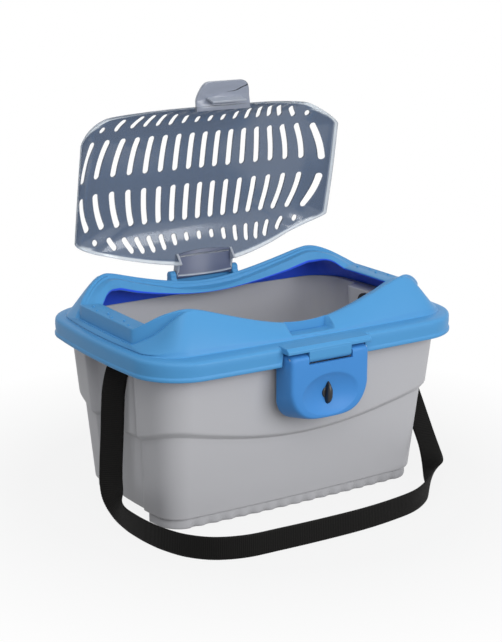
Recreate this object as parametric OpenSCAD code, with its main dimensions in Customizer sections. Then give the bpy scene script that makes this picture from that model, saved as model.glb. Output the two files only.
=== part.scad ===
// Small-animal carrier: an open tub, a lift-off cover ring with a hinged vented lid,
// two drop latches with turn locks, and a webbing shoulder strap.
// Millimetres, +Z up. The origin is the middle of the base on the ground, +X runs
// along the length and the front latch faces -Y. The lid is drawn standing open.

/* [Tub] */
// Length over the tub's wall at the rim
tub_l = 348; // [330:1:370]
// Width over the tub's wall at the rim
tub_w = 234; // [225:1:250]
// Height of the rim above the ground
rim_z = 192.5; // [185:0.5:205]
// Length over the tub's lower wall at its base
base_l = 315; // [305:1:325]
// Width over the tub's lower wall at its base
base_w = 181; // [172:1:190]
// Corner radius at the rim
tub_r = 38; // [32:1:44]
// Corner radius at the base
base_r = 21; // [17:1:26]
// How far the end walls bow outwards
end_bow = 9; // [5:0.5:12]
// How far the long walls bow outwards
side_bow = 4; // [2:0.5:6]
// Wall thickness of the tub
tub_t = 2.5; // [2:0.1:3.5]
// How far the upper wall stands out past the lower wall
step_out = 5; // [3:0.5:7]
// Height of the wall's step at the middle of each side
step_z = 88; // [80:1:100]
// Rise of the step towards the corners
step_rise = 24; // [12:1:30]
// Width of the rim flange outside the wall
rim_w = 10; // [8:0.5:12]
// Thickness of the rim flange
rim_t = 4; // [3:0.5:5]

/* [Foot rails] */
// Height of the foot rails
foot_h = 11; // [8:0.5:14]
// Inset of the foot rails from the edge of the flat base
foot_in = 0.6; // [0.4:0.1:2]
// Half width of the gap between the rails at the ends
foot_end = 50; // [46:1:54]
// Width of a foot rail
foot_w = 13; // [10:0.5:18]
// Spacing of the flutes along a foot rail
flute_step = 17; // [14:0.5:22]
// Depth of the flutes
flute_d = 1.6; // [1:0.1:2.4]

/* [Strap recess] */
// Depth of the end recess at the rim
recess_top = 16; // [12:0.5:18]
// Depth of the end recess at the base
recess_base = 3; // [1:0.5:5]
// Distance of a strap anchor from the middle of its end wall
anchor_y = 14; // [8:1:18]
// Depth of a strap anchor below the rim
anchor_drop = 14; // [13:0.5:20]
// Diameter of a strap button's head
button_d = 24; // [20:1:26]
// Diameter of a strap button's stem
stem_d = 8; // [6:0.5:10]
// Diameter of the outer washer
washer_d = 20; // [16:1:22]

/* [Cover] */
// Thickness of the cover's wall
cover_t = 2.8; // [2.2:0.1:3.4]
// Gap between the tub's rim and the inside of the cover's lip
lip_gap = 3; // [2:0.5:4]
// How far the lip hangs below the rim
lip_drop = 19; // [16:0.5:22]
// Shelf from the lip's outside to the wall at the ends
shelf_end = 9.5; // [7:0.5:12]
// Shelf from the lip's outside to the wall at the sides
shelf_side = 17; // [14:0.5:19]
// Length over the ring around the opening
ring_l = 363; // [355:1:367]
// Width over the ring at its humps
ring_w = 188; // [182:1:194]
// Outward bow of the ring at the middle of the sides
ring_bow = 10; // [8:0.5:12]
// Distance between the left and right humps
hump_l = 262; // [252:1:272]
// Width of the ring's straight ends
ring_end_w = 116; // [106:1:126]
// Height of the humps above the rim
hump_h = 44.5; // [38:0.5:50]
// Height of the ring's dip above the rim at the middle
dip_h = 14.5; // [12:0.5:18]
// Height of the ring's ends above the rim
end_h = 22.5; // [20:0.5:26]
// Height of the flank below the ring at its ends
flank_h = 14; // [10:0.5:16]
// Width of the ring's band
band_w = 18; // [16:0.5:20]

/* [Lid] */
// Distance of the lid's outline inside the ring's outer edge
lid_in = 13; // [11:0.5:13.5]
// Thickness of the lid
lid_t = 2; // [1.6:0.1:3]
// Height of the lid's crown above the rim
crown_h = 51.5; // [46:0.5:56]
// Width of a long vent slot
slot_w = 7.5; // [6:0.25:8.5]
// Angle that the lid stands open
lid_open = 79; // [60:1:95]
// Distance of the lid's hinge pin behind the ring's edge
hinge_out = 3.5; // [3:0.5:6]
// Height of the lid's hinge pin above the rim
hinge_h = 26.3; // [25:0.1:29]
// Half width of the lid's hinge plate
plate_half = 36.5; // [30:0.5:42]
// Radius of the hinge pins
pin_r = 2; // [1.5:0.1:2.5]
// How far the lid's finger tab reaches past its edge
tab_out = 24; // [18:0.5:28]

/* [Latches and locks] */
// Width over a latch at its back
latch_w = 102; // [90:1:112]
// Depth of a latch below its pin
latch_h = 68; // [60:1:76]
// Depth of a latch from its face to its back edge
latch_d = 25; // [22:0.5:27]
// How far a latch's face stands out past the lip
latch_out = 11.5; // [10:0.5:14]
// Wall thickness of a latch
latch_t = 2.5; // [2:0.1:3]
// Drop of a latch's pin below the rim
latch_pin_drop = 11; // [10:0.5:13]
// Drop of a lock's axis below the rim
lock_drop = 52; // [48:0.5:56]
// Radius of a lock's shaft
shaft_r = 4; // [3:0.25:5]
// Reach of a lock cam from its axis
cam_reach = 19; // [16:0.5:22]

/* [Strap] */
// Width of the webbing
strap_w = 25; // [20:1:30]
// Thickness of the webbing
strap_t = 1.6; // [1.2:0.1:2.4]

/* [Hidden] */

grey = [0.72, 0.72, 0.74];
blue = [0.33, 0.58, 0.88];
smoke = [0.42, 0.49, 0.58, 0.6];
black = [0.07, 0.07, 0.07];
steel = [0.7, 0.71, 0.72];

run_gap = 0.05;            // radial clearance of every shaft in its bore
seat_gap = 0.3;            // gap between faces of pieces that lie on each other
corner_n = 8;              // segments of a plan corner
side_n = 20;               // segments of a long side
end_f = [-0.7, -0.58, -0.28, 0, 0.28, 0.58, 0.7]; // stations along an end
recess_f = 0.6;            // share of the straight end that the recess takes

// ---------- plan loops: every loop has the same number of points ----------
function lerp(a, b, t) = a + (b - a) * t;
function smooth(t) = let (c = min(1, max(0, t))) c * c * (3 - 2 * c);
function quarter(q, cx, cy, ex, ey, p) = [for (k = [0:corner_n])
    let (a = 90 * k / corner_n, c = pow(cos(a), p), s = pow(max(0, sin(a)), p))
    q == 0 ? [cx + ex * c, cy + ey * s] :
    q == 1 ? [-cx - ex * s, cy + ey * c] :
    q == 2 ? [-cx - ex * c, -cy - ey * s] :
             [cx + ex * s, -cy - ey * c]];
function bowed(v, a, b, ex, ey, bx, by) = [
    v.x + (abs(v.x) >= a - ex - 0.001 ? sign(v.x) * bx * (1 - pow(v.y / b, 2)) : 0),
    v.y + (abs(v.y) >= b - ey - 0.001 ? sign(v.y) * by * (1 - pow(v.x / a, 2)) : 0)];
function end_run(a, h, s, rec) = [for (f = end_f)
    [s * (a - (abs(f) < recess_f ? rec : 0)), s * f * h]];
// Half length a, half width b, corner sizes ex and ey with exponent p, bows bx and by,
// and the depth rec of the recess in both ends
function plan(a, b, ex, ey, p, bx, by, rec = 0) =
    let (cx = a - ex, cy = b - ey,
        raw = concat(
            quarter(0, cx, cy, ex, ey, p),
            [for (k = [1:side_n - 1]) [cx - 2 * cx * k / side_n, b]],
            quarter(1, cx, cy, ex, ey, p),
            end_run(a, cy, -1, 0),
            quarter(2, cx, cy, ex, ey, p),
            [for (k = [1:side_n - 1]) [-cx + 2 * cx * k / side_n, -b]],
            quarter(3, cx, cy, ex, ey, p),
            end_run(a, cy, 1, 0)),
        cut = concat(
            [for (k = [0:corner_n + side_n + corner_n]) 0],
            [for (f = end_f) abs(f) < recess_f ? rec : 0],
            [for (k = [0:corner_n + side_n + corner_n]) 0],
            [for (f = end_f) abs(f) < recess_f ? rec : 0]))
    [for (k = [0:len(raw) - 1])
        let (v = bowed(raw[k], a, b, ex, ey, bx, by)) [v.x - sign(v.x) * cut[k], v.y]];
function at_z(loop, z) = [for (v = loop) [v.x, v.y, z]];

// A closed skin through the rows of points, capped at both ends or joined in a ring.
// A fan cap runs to a point on the Z axis, at the height of the row it closes.
module skin(rows, ring = false, fan = false) {
    n = len(rows[0]);
    m = len(rows);
    last = ring ? m - 1 : m - 2;
    side = [for (k = [0:last], i = [0:n - 1])
        let (j = (i + 1) % n, u = (k + 1) % m)
        each [[k * n + i, u * n + i, u * n + j], [k * n + i, u * n + j, k * n + j]]];
    flat = [[for (i = [0:n - 1]) i], [for (i = [n - 1:-1:0]) (m - 1) * n + i]];
    fans = concat([for (i = [0:n - 1]) [m * n, i, (i + 1) % n]],
        [for (i = [0:n - 1]) [m * n + 1, (m - 1) * n + (i + 1) % n, (m - 1) * n + i]]);
    middles = fan ? [[0, 0, rows[0][0].z], [0, 0, rows[m - 1][0].z]] : [];
    polyhedron(points = concat([for (r = rows) each r], middles),
        faces = concat(side, ring ? [] : fan ? fans : flat), convexity = 10);
}

// ---------- tub ----------
rim_under = rim_z - rim_t;
function wall_loop(out, rec, top) = top
    ? plan(tub_l / 2 - step_out + out, tub_w / 2 - step_out + out, tub_r + out,
        tub_r + out, 1, end_bow, side_bow, rec * recess_top)
    : plan(base_l / 2 + out, base_w / 2 + out, base_r + out,
        base_r + out, 1, end_bow, side_bow, rec * recess_base);
function step_at(v) = step_z
    + step_rise * pow(v.x / (base_l / 2), 2) * pow(v.y / (base_w / 2), 2);
// One row of the tub's skin: a height, or a height above the step, and an offset
function tub_row(z, out, rec, on_step = false) =
    let (lo = wall_loop(out, rec, false), hi = wall_loop(out, rec, true))
    [for (k = [0:len(lo) - 1])
        let (h = on_step ? min(step_at(lo[k]), step_z + step_rise) + z : z,
            t = (h - foot_h) / (rim_under - foot_h))
        [lerp(lo[k].x, hi[k].x, t), lerp(lo[k].y, hi[k].y, t), h]];
// Half width of the tub's outside at the middle of a long side, above the step
function wall_y(z) = lerp(base_w / 2, tub_w / 2 - step_out, (z - foot_h) / (rim_under - foot_h))
    + step_out + side_bow;
// Distance of the recess floor's outside from the middle, at height z
function recess_x(z) = let (t = (z - foot_h) / (rim_under - foot_h),
        f = anchor_y / lerp(base_w / 2, tub_w / 2 - step_out, t))
    lerp(base_l / 2 - recess_base, tub_l / 2 - step_out - recess_top, t)
    + step_out + end_bow * (1 - f * f);
edge_r = 3;                // rounding of the tub's bottom edge
anchor_z = rim_z - anchor_drop;
step_h = 4.3;              // height over which the wall steps out
stem_gap = 0.05;

module foot_rail(s) {
    a = base_l / 2 - edge_r - foot_in;
    b = base_w / 2 - edge_r - foot_in;
    end_x = a + end_bow * (1 - pow(foot_end / b, 2));
    loop = plan(a, b, base_r, base_r, 1, end_bow, side_bow);
    n = len(loop) / 2;
    side = [for (k = [0:60]) let (x = lerp(a - base_r, base_r - a, k / 60))
        [x, b + side_bow * (1 - pow(x / a, 2))
            - flute_d * pow(sin(180 * x / flute_step), 2)]];
    outer = concat([[end_x, foot_end]],
        [for (k = [0:corner_n - 1]) loop[k]], side,
        [for (k = [corner_n + side_n + 1:2 * corner_n + side_n]) loop[k]],
        [[-end_x, foot_end]]);
    inner = [[-a + foot_w, foot_end], [-a + foot_w, b - foot_w - base_r * 0.4],
        [-a + foot_w + base_r * 0.4, b - foot_w], [a - foot_w - base_r * 0.4, b - foot_w],
        [a - foot_w, b - foot_w - base_r * 0.4], [a - foot_w, foot_end]];
    mirror([0, s < 0 ? 1 : 0, 0])
        linear_extrude(foot_h + tub_t / 2)
            polygon(concat(outer, inner));
}

keep_y = wall_y(rim_z - lock_drop); // where the tub's wall stands at the locks
cam_t = 3;
cam_w = 7;
keep_gap = 1;              // play of a lock cam in its keeper
boss_r = shaft_r + 4;
keep_in = boss_r + 1;      // where the keeper starts beside the lock's axis
keep_out = cam_reach + 3;
screw_head = 1.6;
rim_notch_y = wall_y(rim_under) + 0.4; // the rim is cut back to here at a latch
cam_y = rim_notch_y + screw_head + 0.6; // inner face of a lock cam: it lifts past the rim
keep_front = cam_y + cam_t + keep_gap; // inner face of a keeper's front plate
keep_t = 2;

// Roofed hook on the wall: a turned cam lies under its roof and behind its front plate
module keeper(s) {
    top = rim_z - lock_drop + cam_w / 2 + keep_gap;
    rotate([0, 0, s > 0 ? 0 : 180]) {
        translate([keep_in, keep_y - 1.6, top])
            cube([keep_out - keep_in, keep_front + keep_t - keep_y + 1.6, 3]);
        translate([keep_in, keep_front, top - cam_w - 1])
            cube([keep_out - keep_in, keep_t, cam_w + 3]);
        translate([keep_out - keep_t, keep_y - 2.6, top - cam_w - 1])
            cube([keep_t, keep_front + keep_t - keep_y + 2.6, cam_w + 3]);
    }
}

// Cut in the rim, through which a closed latch drops beside the wall
module rim_notch(s) {
    half = latch_w / 2 + 1.5;
    mirror([0, s > 0 ? 0 : 1, 0])
        translate([-half, rim_notch_y, rim_under - 1])
            cube([2 * half, rim_w + side_bow, rim_t + 2]);
}

module tub() {
    color(grey)
    difference() {
        union() {
            skin([
                tub_row(foot_h, -edge_r, 1),
                tub_row(foot_h + edge_r * 0.3, -edge_r * 0.3, 1),
                tub_row(foot_h + edge_r, 0, 1),
                tub_row(-step_h * 0.6, 0, 1, true),
                tub_row(-step_h * 0.1, step_out * 0.2, 1, true),
                tub_row(step_h * 0.2, step_out * 0.75, 1, true),
                tub_row(step_h, step_out, 1, true),
                tub_row(rim_under, step_out, 1),
                tub_row(rim_under, step_out + rim_w, 0),
                tub_row(rim_z - 1, step_out + rim_w, 0),
                tub_row(rim_z, step_out + rim_w - 1, 0),
                tub_row(rim_z, step_out - tub_t, 1),
                tub_row(step_h, step_out - tub_t, 1, true),
                tub_row(-step_h * 0.6, -tub_t, 1, true),
                tub_row(foot_h + tub_t + edge_r, -tub_t, 1),
                tub_row(foot_h + tub_t, -tub_t - edge_r, 1)], fan = true);
            foot_rail(1);
            foot_rail(-1);
            keeper(1);
            keeper(-1);
        }
        for (s = [-1, 1])
            translate([s * (recess_x(anchor_z) - 12), s * anchor_y, anchor_z])
                rotate([0, 90, 0])
                    translate([0, 0, s > 0 ? 0 : -24])
                        cylinder(r = stem_d / 2 + stem_gap, h = 24, $fn = 48);
        for (s = [-1, 1])
            rim_notch(s);
    }
}

// ---------- cover ----------
lip_a = tub_l / 2 + rim_w + lip_gap + cover_t;
lip_b = tub_w / 2 + rim_w + lip_gap + cover_t;
lip_r = tub_r + rim_w;
lip_bow = end_bow + 1;
ceiling = rim_z + seat_gap;
shelf_z = ceiling + cover_t - 0.3;
lip_low = rim_z - lip_drop;
ring_a = ring_l / 2;
ring_b = ring_w / 2;
hump_x = hump_l / 2;
dip_c = 60;                // how widely the dip is rounded
blend_r = 2;               // how softly the dip's rise meets the hump
band_end_x = ring_a - 9;

// Height of the ring's outer edge above the ground at distance x from the middle
function ring_z(x) =
    let (u = abs(x),
        rise = (hump_h + 0.8 - dip_h) / (sqrt(hump_x * hump_x + dip_c * dip_c) - dip_c),
        up = dip_h + rise * (sqrt(u * u + dip_c * dip_c) - dip_c),
        down = end_h + (hump_h + 0.5 - end_h)
            * sin(90 * min(1, max(0, (ring_a - u) / (ring_a - hump_x)))))
    rim_z + (up + down) / 2 - sqrt(pow((up - down) / 2, 2) + blend_r * blend_r);
// 1 along the sides, falling to 0 at the ends: the band slopes in along the sides only
function band_slope(x) = 1 - smooth((abs(x) - hump_x - 4) / (band_end_x - hump_x - 4));
function flank(x) = flank_h * smooth((abs(x) - hump_x) / 42);
chamfer_x = 0.68;          // how much an inset shortens the ring's corners along X
chamfer_y = 0.49;          // and along Y
ring_y = ring_b + ring_bow;
ring_end_bow = 1;
function ring_loop(inset) =
    let (q = pow(hump_x / ring_a, 2), bow = ring_bow / q, b = ring_y - bow)
    plan(ring_a - inset, b - inset, ring_a - hump_x - chamfer_x * inset,
        b - ring_end_w / 2 - chamfer_y * inset, 1.6, ring_end_bow, bow);
ring_edge = ring_loop(0);
// One row of the ring: inset from its outer edge, and drop below it along the sides
function ring_row(inset, drop, always = 0) = let (loop = ring_loop(inset))
    [for (k = [0:len(loop) - 1]) let (x = ring_edge[k].x)
        [loop[k].x, loop[k].y, ring_z(x) - drop * band_slope(x) - always]];
function lip_loop(in_a, in_b, r) = plan(lip_a - in_a, lip_b - in_b, r, r, 1, lip_bow, side_bow);
function wall_foot(t) = lip_loop(shelf_end + t, shelf_side + t, lip_r - 14);
function wall_row(t, f, bulge) =
    let (lo = wall_foot(t), hi = ring_loop(t), z0 = shelf_z - t, g = f * 0.9 + 0.1 * f * f - bulge)
    [for (k = [0:len(lo) - 1])
        let (x = ring_edge[k].x, top = ring_z(x) - flank(x) - t)
        [lerp(lo[k].x, hi[k].x, g), lerp(lo[k].y, hi[k].y, g), lerp(z0, top, f)]];

latch_face = lip_b + side_bow + latch_out;   // distance of a latch's face from the middle
latch_round = 6.1;         // radius of a latch's top edge about its pin
latch_pin_y = latch_face - latch_round;
latch_pin_z = rim_z - latch_pin_drop;
knuckle_r = 5.5;
tongue_half = 26.5;
block_z = latch_pin_z + latch_round + 0.4;   // underside of the latch block
block_half = latch_w / 2 + 1;
lug_w = 8;
lug_r = 5;
hinge_y = ring_y + hinge_out;
hinge_z = rim_z + hinge_h;
lug_gap = 0.4;

module lid_lug(s) {
    x0 = plate_half + lug_gap;
    translate([s > 0 ? x0 : -x0 - lug_w, 0, 0])
        rotate([90, 0, 90]) {
            translate([hinge_y, hinge_z, 0])
                cylinder(r = lug_r, h = lug_w, $fn = 48);
            linear_extrude(lug_w)
                polygon([[hinge_y - lug_r, hinge_z], [ring_y - 5, ring_z(x0) - 3],
                    [ring_y, ring_z(x0) - 2.5], [ring_y + 10, ring_z(x0) - 9],
                    [hinge_y + lug_r, hinge_z]]);
        }
}

// Block on the lip over a latch, with a hanging tongue that carries the latch's pin
module latch_block(s) {
    back = lip_b + side_bow - cover_t * 0.6;
    mirror([0, s > 0 ? 0 : 1, 0]) {
        rotate([90, 0, 90])
            translate([0, 0, -block_half])
                linear_extrude(2 * block_half)
                    polygon([[back, block_z], [latch_face - 2, block_z],
                        [latch_face - 0.6, block_z + 1.4], [latch_face - 1, ceiling - 1],
                        [latch_face - 3.5, ceiling + 1.2], [back - 8, ceiling + 1.6],
                        [back - 8, ceiling + 0.6], [back, ceiling - 3]]);
        translate([-tongue_half, 0, 0])
            rotate([90, 0, 90]) {
                translate([latch_pin_y, latch_pin_z, 0])
                    cylinder(r = knuckle_r, h = 2 * tongue_half, $fn = 48);
                linear_extrude(2 * tongue_half)
                    polygon([[latch_pin_y - knuckle_r, latch_pin_z],
                        [latch_pin_y + knuckle_r, latch_pin_z],
                        [latch_pin_y + knuckle_r, block_z + 1],
                        [latch_pin_y - knuckle_r, block_z + 1]]);
            }
    }
}

module latch_pin_bore(s, r, half) {
    translate([-half, s * latch_pin_y, latch_pin_z])
        rotate([0, 90, 0])
            cylinder(r = r, h = 2 * half, $fn = 48);
}

catch_half = 27;           // half width of the pocket under the lid's tab
catch_floor = rim_z + 6;   // height of the pocket's floor
catch_y = ring_y - 4.5;    // inner face of the pocket
hook_y = ring_y - 1;       // outer face of the slot for the tab's hook
dip_z = rim_z + dip_h;     // ring's height at the middle of its sides
ridge_h = 0.6;             // height of the ridge along the ring's edge
seat_drop = 4.4;           // drop of the lid's seat below the ring's edge

// Solid pad under the front rail, which holds the pocket
module catch_pad() {
    foot_y = lip_b - shelf_side + side_bow;
    translate([-catch_half - 2.5, 0, 0])
        rotate([90, 0, 90])
            linear_extrude(2 * catch_half + 5)
                polygon([[-foot_y + 3, shelf_z - 0.6], [-ring_y + 1, dip_z - 2.6],
                    [-ring_y + 5, dip_z - 4.4], [-catch_y + 4, dip_z - 5.6],
                    [-catch_y + 4, shelf_z - 0.6]]);
}
module cover() {
    color(blue)
    difference() {
        union() {
            difference() {
                skin([
                    at_z(lip_loop(0.9, 0.9, lip_r - 0.9), lip_low),
                    at_z(lip_loop(0, 0, lip_r), lip_low + 1.8),
                    at_z(lip_loop(0, 0, lip_r), ceiling - 8),
                    at_z(lip_loop(0.5, 0.5, lip_r - 0.5), ceiling - 5),
                    at_z(lip_loop(1.9, 1.9, lip_r - 1.9), ceiling - 2),
                    at_z(lip_loop(4.8, 5.4, lip_r - 4.8), ceiling + 0.8),
                    at_z(lip_loop(shelf_end - 1, shelf_side - 5, lip_r - 12), shelf_z - 0.4),
                    wall_row(0, 0, 0),
                    wall_row(0, 0.3, 0.07),
                    wall_row(0, 0.65, 0.06),
                    wall_row(0, 1, 0.01),
                    ring_row(0, 0),
                    ring_row(1, 0, -ridge_h),
                    ring_row(2.8, 0, -0.3),
                    ring_row(4.2, 2.4, 0.2),
                    ring_row(5.6, 1.6, 0),
                    ring_row(7, seat_drop - 0.4, 0),
                    ring_row(lid_in + 1.2, seat_drop, 0),
                    ring_row(band_w - 1, 11, 0),
                    ring_row(band_w, 12.2, 0.6),
                    ring_row(band_w, 13, 3),
                    ring_row(band_w - 2.5, 13, 3.4),
                    wall_row(cover_t, 1, 0.01),
                    wall_row(cover_t, 0.65, 0.06),
                    wall_row(cover_t, 0.3, 0.07),
                    at_z(wall_foot(cover_t), ceiling),
                    at_z(lip_loop(cover_t + 2.8, cover_t + 2.8, lip_r - cover_t - 2.8), ceiling),
                    at_z(lip_loop(cover_t, cover_t, lip_r - cover_t), ceiling - 5),
                    at_z(lip_loop(cover_t, cover_t, lip_r - cover_t), lip_low + 1)], true);
                for (s = [-1, 1])
                    translate([-block_half - 1, s > 0 ? lip_b - 14 : -lip_b - 26, lip_low - 1])
                        cube([2 * block_half + 2, 40, block_z - lip_low + 1]);
            }
            for (s = [-1, 1]) {
                latch_block(s);
                lid_lug(s);
            }
            catch_pad();
        }
        for (s = [-1, 1])
            latch_pin_bore(s, pin_r + run_gap, tongue_half + 1);
        translate([-plate_half - lug_w - 1, hinge_y, hinge_z])
            rotate([0, 90, 0])
                cylinder(r = pin_r + run_gap, h = 2 * (plate_half + lug_w + 1), $fn = 48);
        translate([-catch_half, -catch_y - 20, catch_floor])
            cube([2 * catch_half, 20, 20]);
        translate([-catch_half + 4, -hook_y, catch_floor - 1.5])
            cube([2 * catch_half - 8, 3.5, 20]);
    }
}

// ---------- lid: drawn closed, then swung open about its pin ----------
lid_edge = ring_loop(lid_in);
lid_rows = [1, 0.97, 0.92, 0.84, 0.73, 0.58, 0.32];
crown_z = rim_z + crown_h;
// How steep the dome's margin is: softer along the sides than at the ends
function margin_power(x) = 4 + 3.5 * smooth((abs(x) - hump_x) / 34);
// One row of the dome: the outline shrunk by f, an inset and a height above the underside
function lid_row(f, inset, up) =
    let (loop = ring_loop(lid_in + inset))
    [for (k = [0:len(loop) - 1])
        let (x = ring_edge[k].x,
            seat = ring_z(x) - seat_drop * band_slope(x) + seat_gap + 0.1,
            g = f <= lid_rows[len(lid_rows) - 1] ? 0 : pow(f, margin_power(x)))
        [loop[k].x * f, loop[k].y * f, lerp(crown_z, seat, g) - (1 - g) * lid_t + up]];

// A vent column k from the middle is an arc: its distance from the middle at depth y
slot_pitch = 16.7;
slot_grow = 0.36;
slot_lean = 0.095;
function slot_x(k, y) = let (x = slot_pitch * k + slot_grow * k * k)
    x * (1 - slot_lean * min(1, k / 6) * pow(y / 50, 2));
// Outline of one slot along its arc, from y0 to y1, with round ends
function slot_outline(k, y0, y1, w, s) =
    let (r = w / 2, n = 4,
        mid = [for (i = [0:n]) let (y = lerp(y0 + r, y1 - r, i / n)) [s * slot_x(k, y), y]],
        d0 = mid[1] - mid[0], a0 = atan2(d0.y, d0.x),
        d1 = mid[n] - mid[n - 1], a1 = atan2(d1.y, d1.x))
    concat(
        [for (a = [90, 135, 180, 225]) mid[0] + r * [cos(a0 + a), sin(a0 + a)]],
        [for (i = [1:n - 1]) let (d = mid[i + 1] - mid[i - 1], a = atan2(d.y, d.x) - 90)
            mid[i] + r * [cos(a), sin(a)]],
        [for (a = [-90, -45, 0, 45]) mid[n] + r * [cos(a1 + a), sin(a1 + a)]],
        [for (i = [n - 1:-1:1]) let (d = mid[i + 1] - mid[i - 1], a = atan2(d.y, d.x) + 90)
            mid[i] + r * [cos(a), sin(a)]]);
slot_in = 7;
slot_out = 51;
short_in = [64, 64, 64, 63, 63, 63, 63, 61, 58];
short_out = [73, 73, 76, 79, 80, 80, 79, 76, 70];
short_w = 5.6;

module slots() {
    for (k = [0:8], s = (k == 0 ? [1] : [-1, 1]), f = [-1, 1])
        mirror([0, f < 0 ? 1 : 0, 0])
            translate([0, 0, rim_z]) {
                linear_extrude(2 * crown_h)
                    polygon(slot_outline(k, slot_in, slot_out, slot_w, s));
                linear_extrude(2 * crown_h)
                    polygon(slot_outline(k, short_in[k], short_out[k], short_w, s));
            }
}

hinge_drop = 8;            // depth of the hinge plate's outer edge below the pin
plate_in = 25.5;           // where the plate meets the dome, inside the pin
plate_rise = 0.8;          // height of the plate there above the pin
plate_t = 2.6;
module across(half, x = 0) {
    translate([x - half, 0, 0])
        rotate([90, 0, 90])
            linear_extrude(2 * half)
                children();
}
module hinge_box() {
    low = [hinge_y - 0.5, hinge_z - hinge_drop];
    top = [hinge_y - plate_in, hinge_z + plate_rise];
    edge = [ring_y - lid_in, hinge_z - hinge_drop - 3.2];
    over = ring_z(plate_half) + ridge_h + 0.5; // the closed plate's cheeks pass over the ring
    across(plate_half)
        polygon([top, low, low + [2, 2.2], low + [0.8, 4.4], top + [1, plate_t + 0.4]]);
    for (s = [-1, 1])
        across(1.25, s * (plate_half - 1.25))
            polygon([top, edge, [ring_y - 9, over], [ring_y + 0.6, over], low, hinge_pt + [4, -3], hinge_pt + [3, 4],
                top + [4, plate_t + 1.2]]);
    translate([-plate_half, hinge_y, hinge_z])
        rotate([0, 90, 0])
            cylinder(r = lug_r - 0.2, h = 2 * plate_half, $fn = 48);
}
hinge_pt = [hinge_y, hinge_z];

tab_half = 34;
tab_z = ring_z(tab_half) + ridge_h + 0.4; // the closed tab lies over the ring
tab_t = 3.6;
module tab() {
    y0 = -ring_y + lid_in + 9;
    y1 = -ring_y + lid_in - tab_out;
    difference() {
        translate([0, 0, tab_z])
            linear_extrude(tab_t)
                polygon([[-tab_half, y0], [-tab_half, y1 + 17], [-tab_half + 3, y1 + 7],
                    [-tab_half + 9, y1], [tab_half - 9, y1], [tab_half - 3, y1 + 7],
                    [tab_half, y1 + 17], [tab_half, y0]]);
        translate([-tab_half + 12, y1 + 2.4, tab_z - 1])
            cube([2 * tab_half - 24, 7, tab_t - 0.6]);
    }
    translate([-catch_half + 5, -hook_y + 0.5, catch_floor - 1])
        cube([2 * catch_half - 10, 2.5, tab_z + 1 - catch_floor + 1]);
}

module closed_lid() {
    difference() {
        union() {
            difference() {
                skin(concat(
                    [for (i = [len(lid_rows) - 1:-1:0]) lid_row(lid_rows[i], 0.9, 0)],
                    [for (f = lid_rows) lid_row(f, 0, lid_t)]));
                slots();
                across(plate_half - 1.2)
                    polygon([[hinge_y - plate_in, hinge_z + plate_rise],
                        [hinge_y, hinge_z - hinge_drop], [hinge_y, rim_z],
                        [hinge_y - plate_in, rim_z]]);
            }
            hinge_box();
            tab();
        }
        translate([-plate_half - 1, hinge_y, hinge_z])
            rotate([0, 90, 0])
                cylinder(r = pin_r + run_gap, h = 2 * plate_half + 2, $fn = 48);
    }
}

module lid() {
    color(smoke)
    translate([0, hinge_y, hinge_z])
        rotate([-lid_open, 0, 0])
            translate([0, -hinge_y, -hinge_z])
                closed_lid();
}

module lid_hinge_pin() {
    color(steel)
    translate([-plate_half - lug_w, hinge_y, hinge_z])
        rotate([0, 90, 0])
            cylinder(r = pin_r, h = 2 * (plate_half + lug_w), $fn = 48);
}

// ---------- latches ----------
latch_low = latch_pin_z - latch_h;
latch_top = latch_pin_z + latch_round;
// Outline of a latch seen from the front: straight flanks, a bowed lower edge
function latch_outline(inset) =
    let (h = latch_w / 2 - inset, z0 = latch_low + inset, z1 = latch_top - inset, rise = 14)
    concat(
        [for (k = [0:12]) let (a = 180 + 15 * k, c = cos(a), s = sin(a))
            [h * (abs(c) < 0.001 ? 0 : sign(c) * pow(abs(c), 0.55)),
                z0 + (rise + 20) * (1 - pow(abs(s), 1.25))]],
        [[h, z1 - 6], [h - 2, z1 - 2], [h - 6, z1], [-h + 6, z1], [-h + 2, z1 - 2], [-h, z1 - 6]]);
module latch_slab(inset, y0, y1) {
    translate([0, y1, 0])
        rotate([90, 0, 0])
            linear_extrude(y1 - y0)
                polygon(latch_outline(inset));
}

lock_z = rim_z - lock_drop;
dish_r = 62;
dish_d = 6;
dish_c = latch_face + dish_r - dish_d;
cam_gap = 0.4;             // axial play of a lock's shaft
keeper_room = 14;          // height of the cut in a latch's lower edge for the keeper

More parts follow.
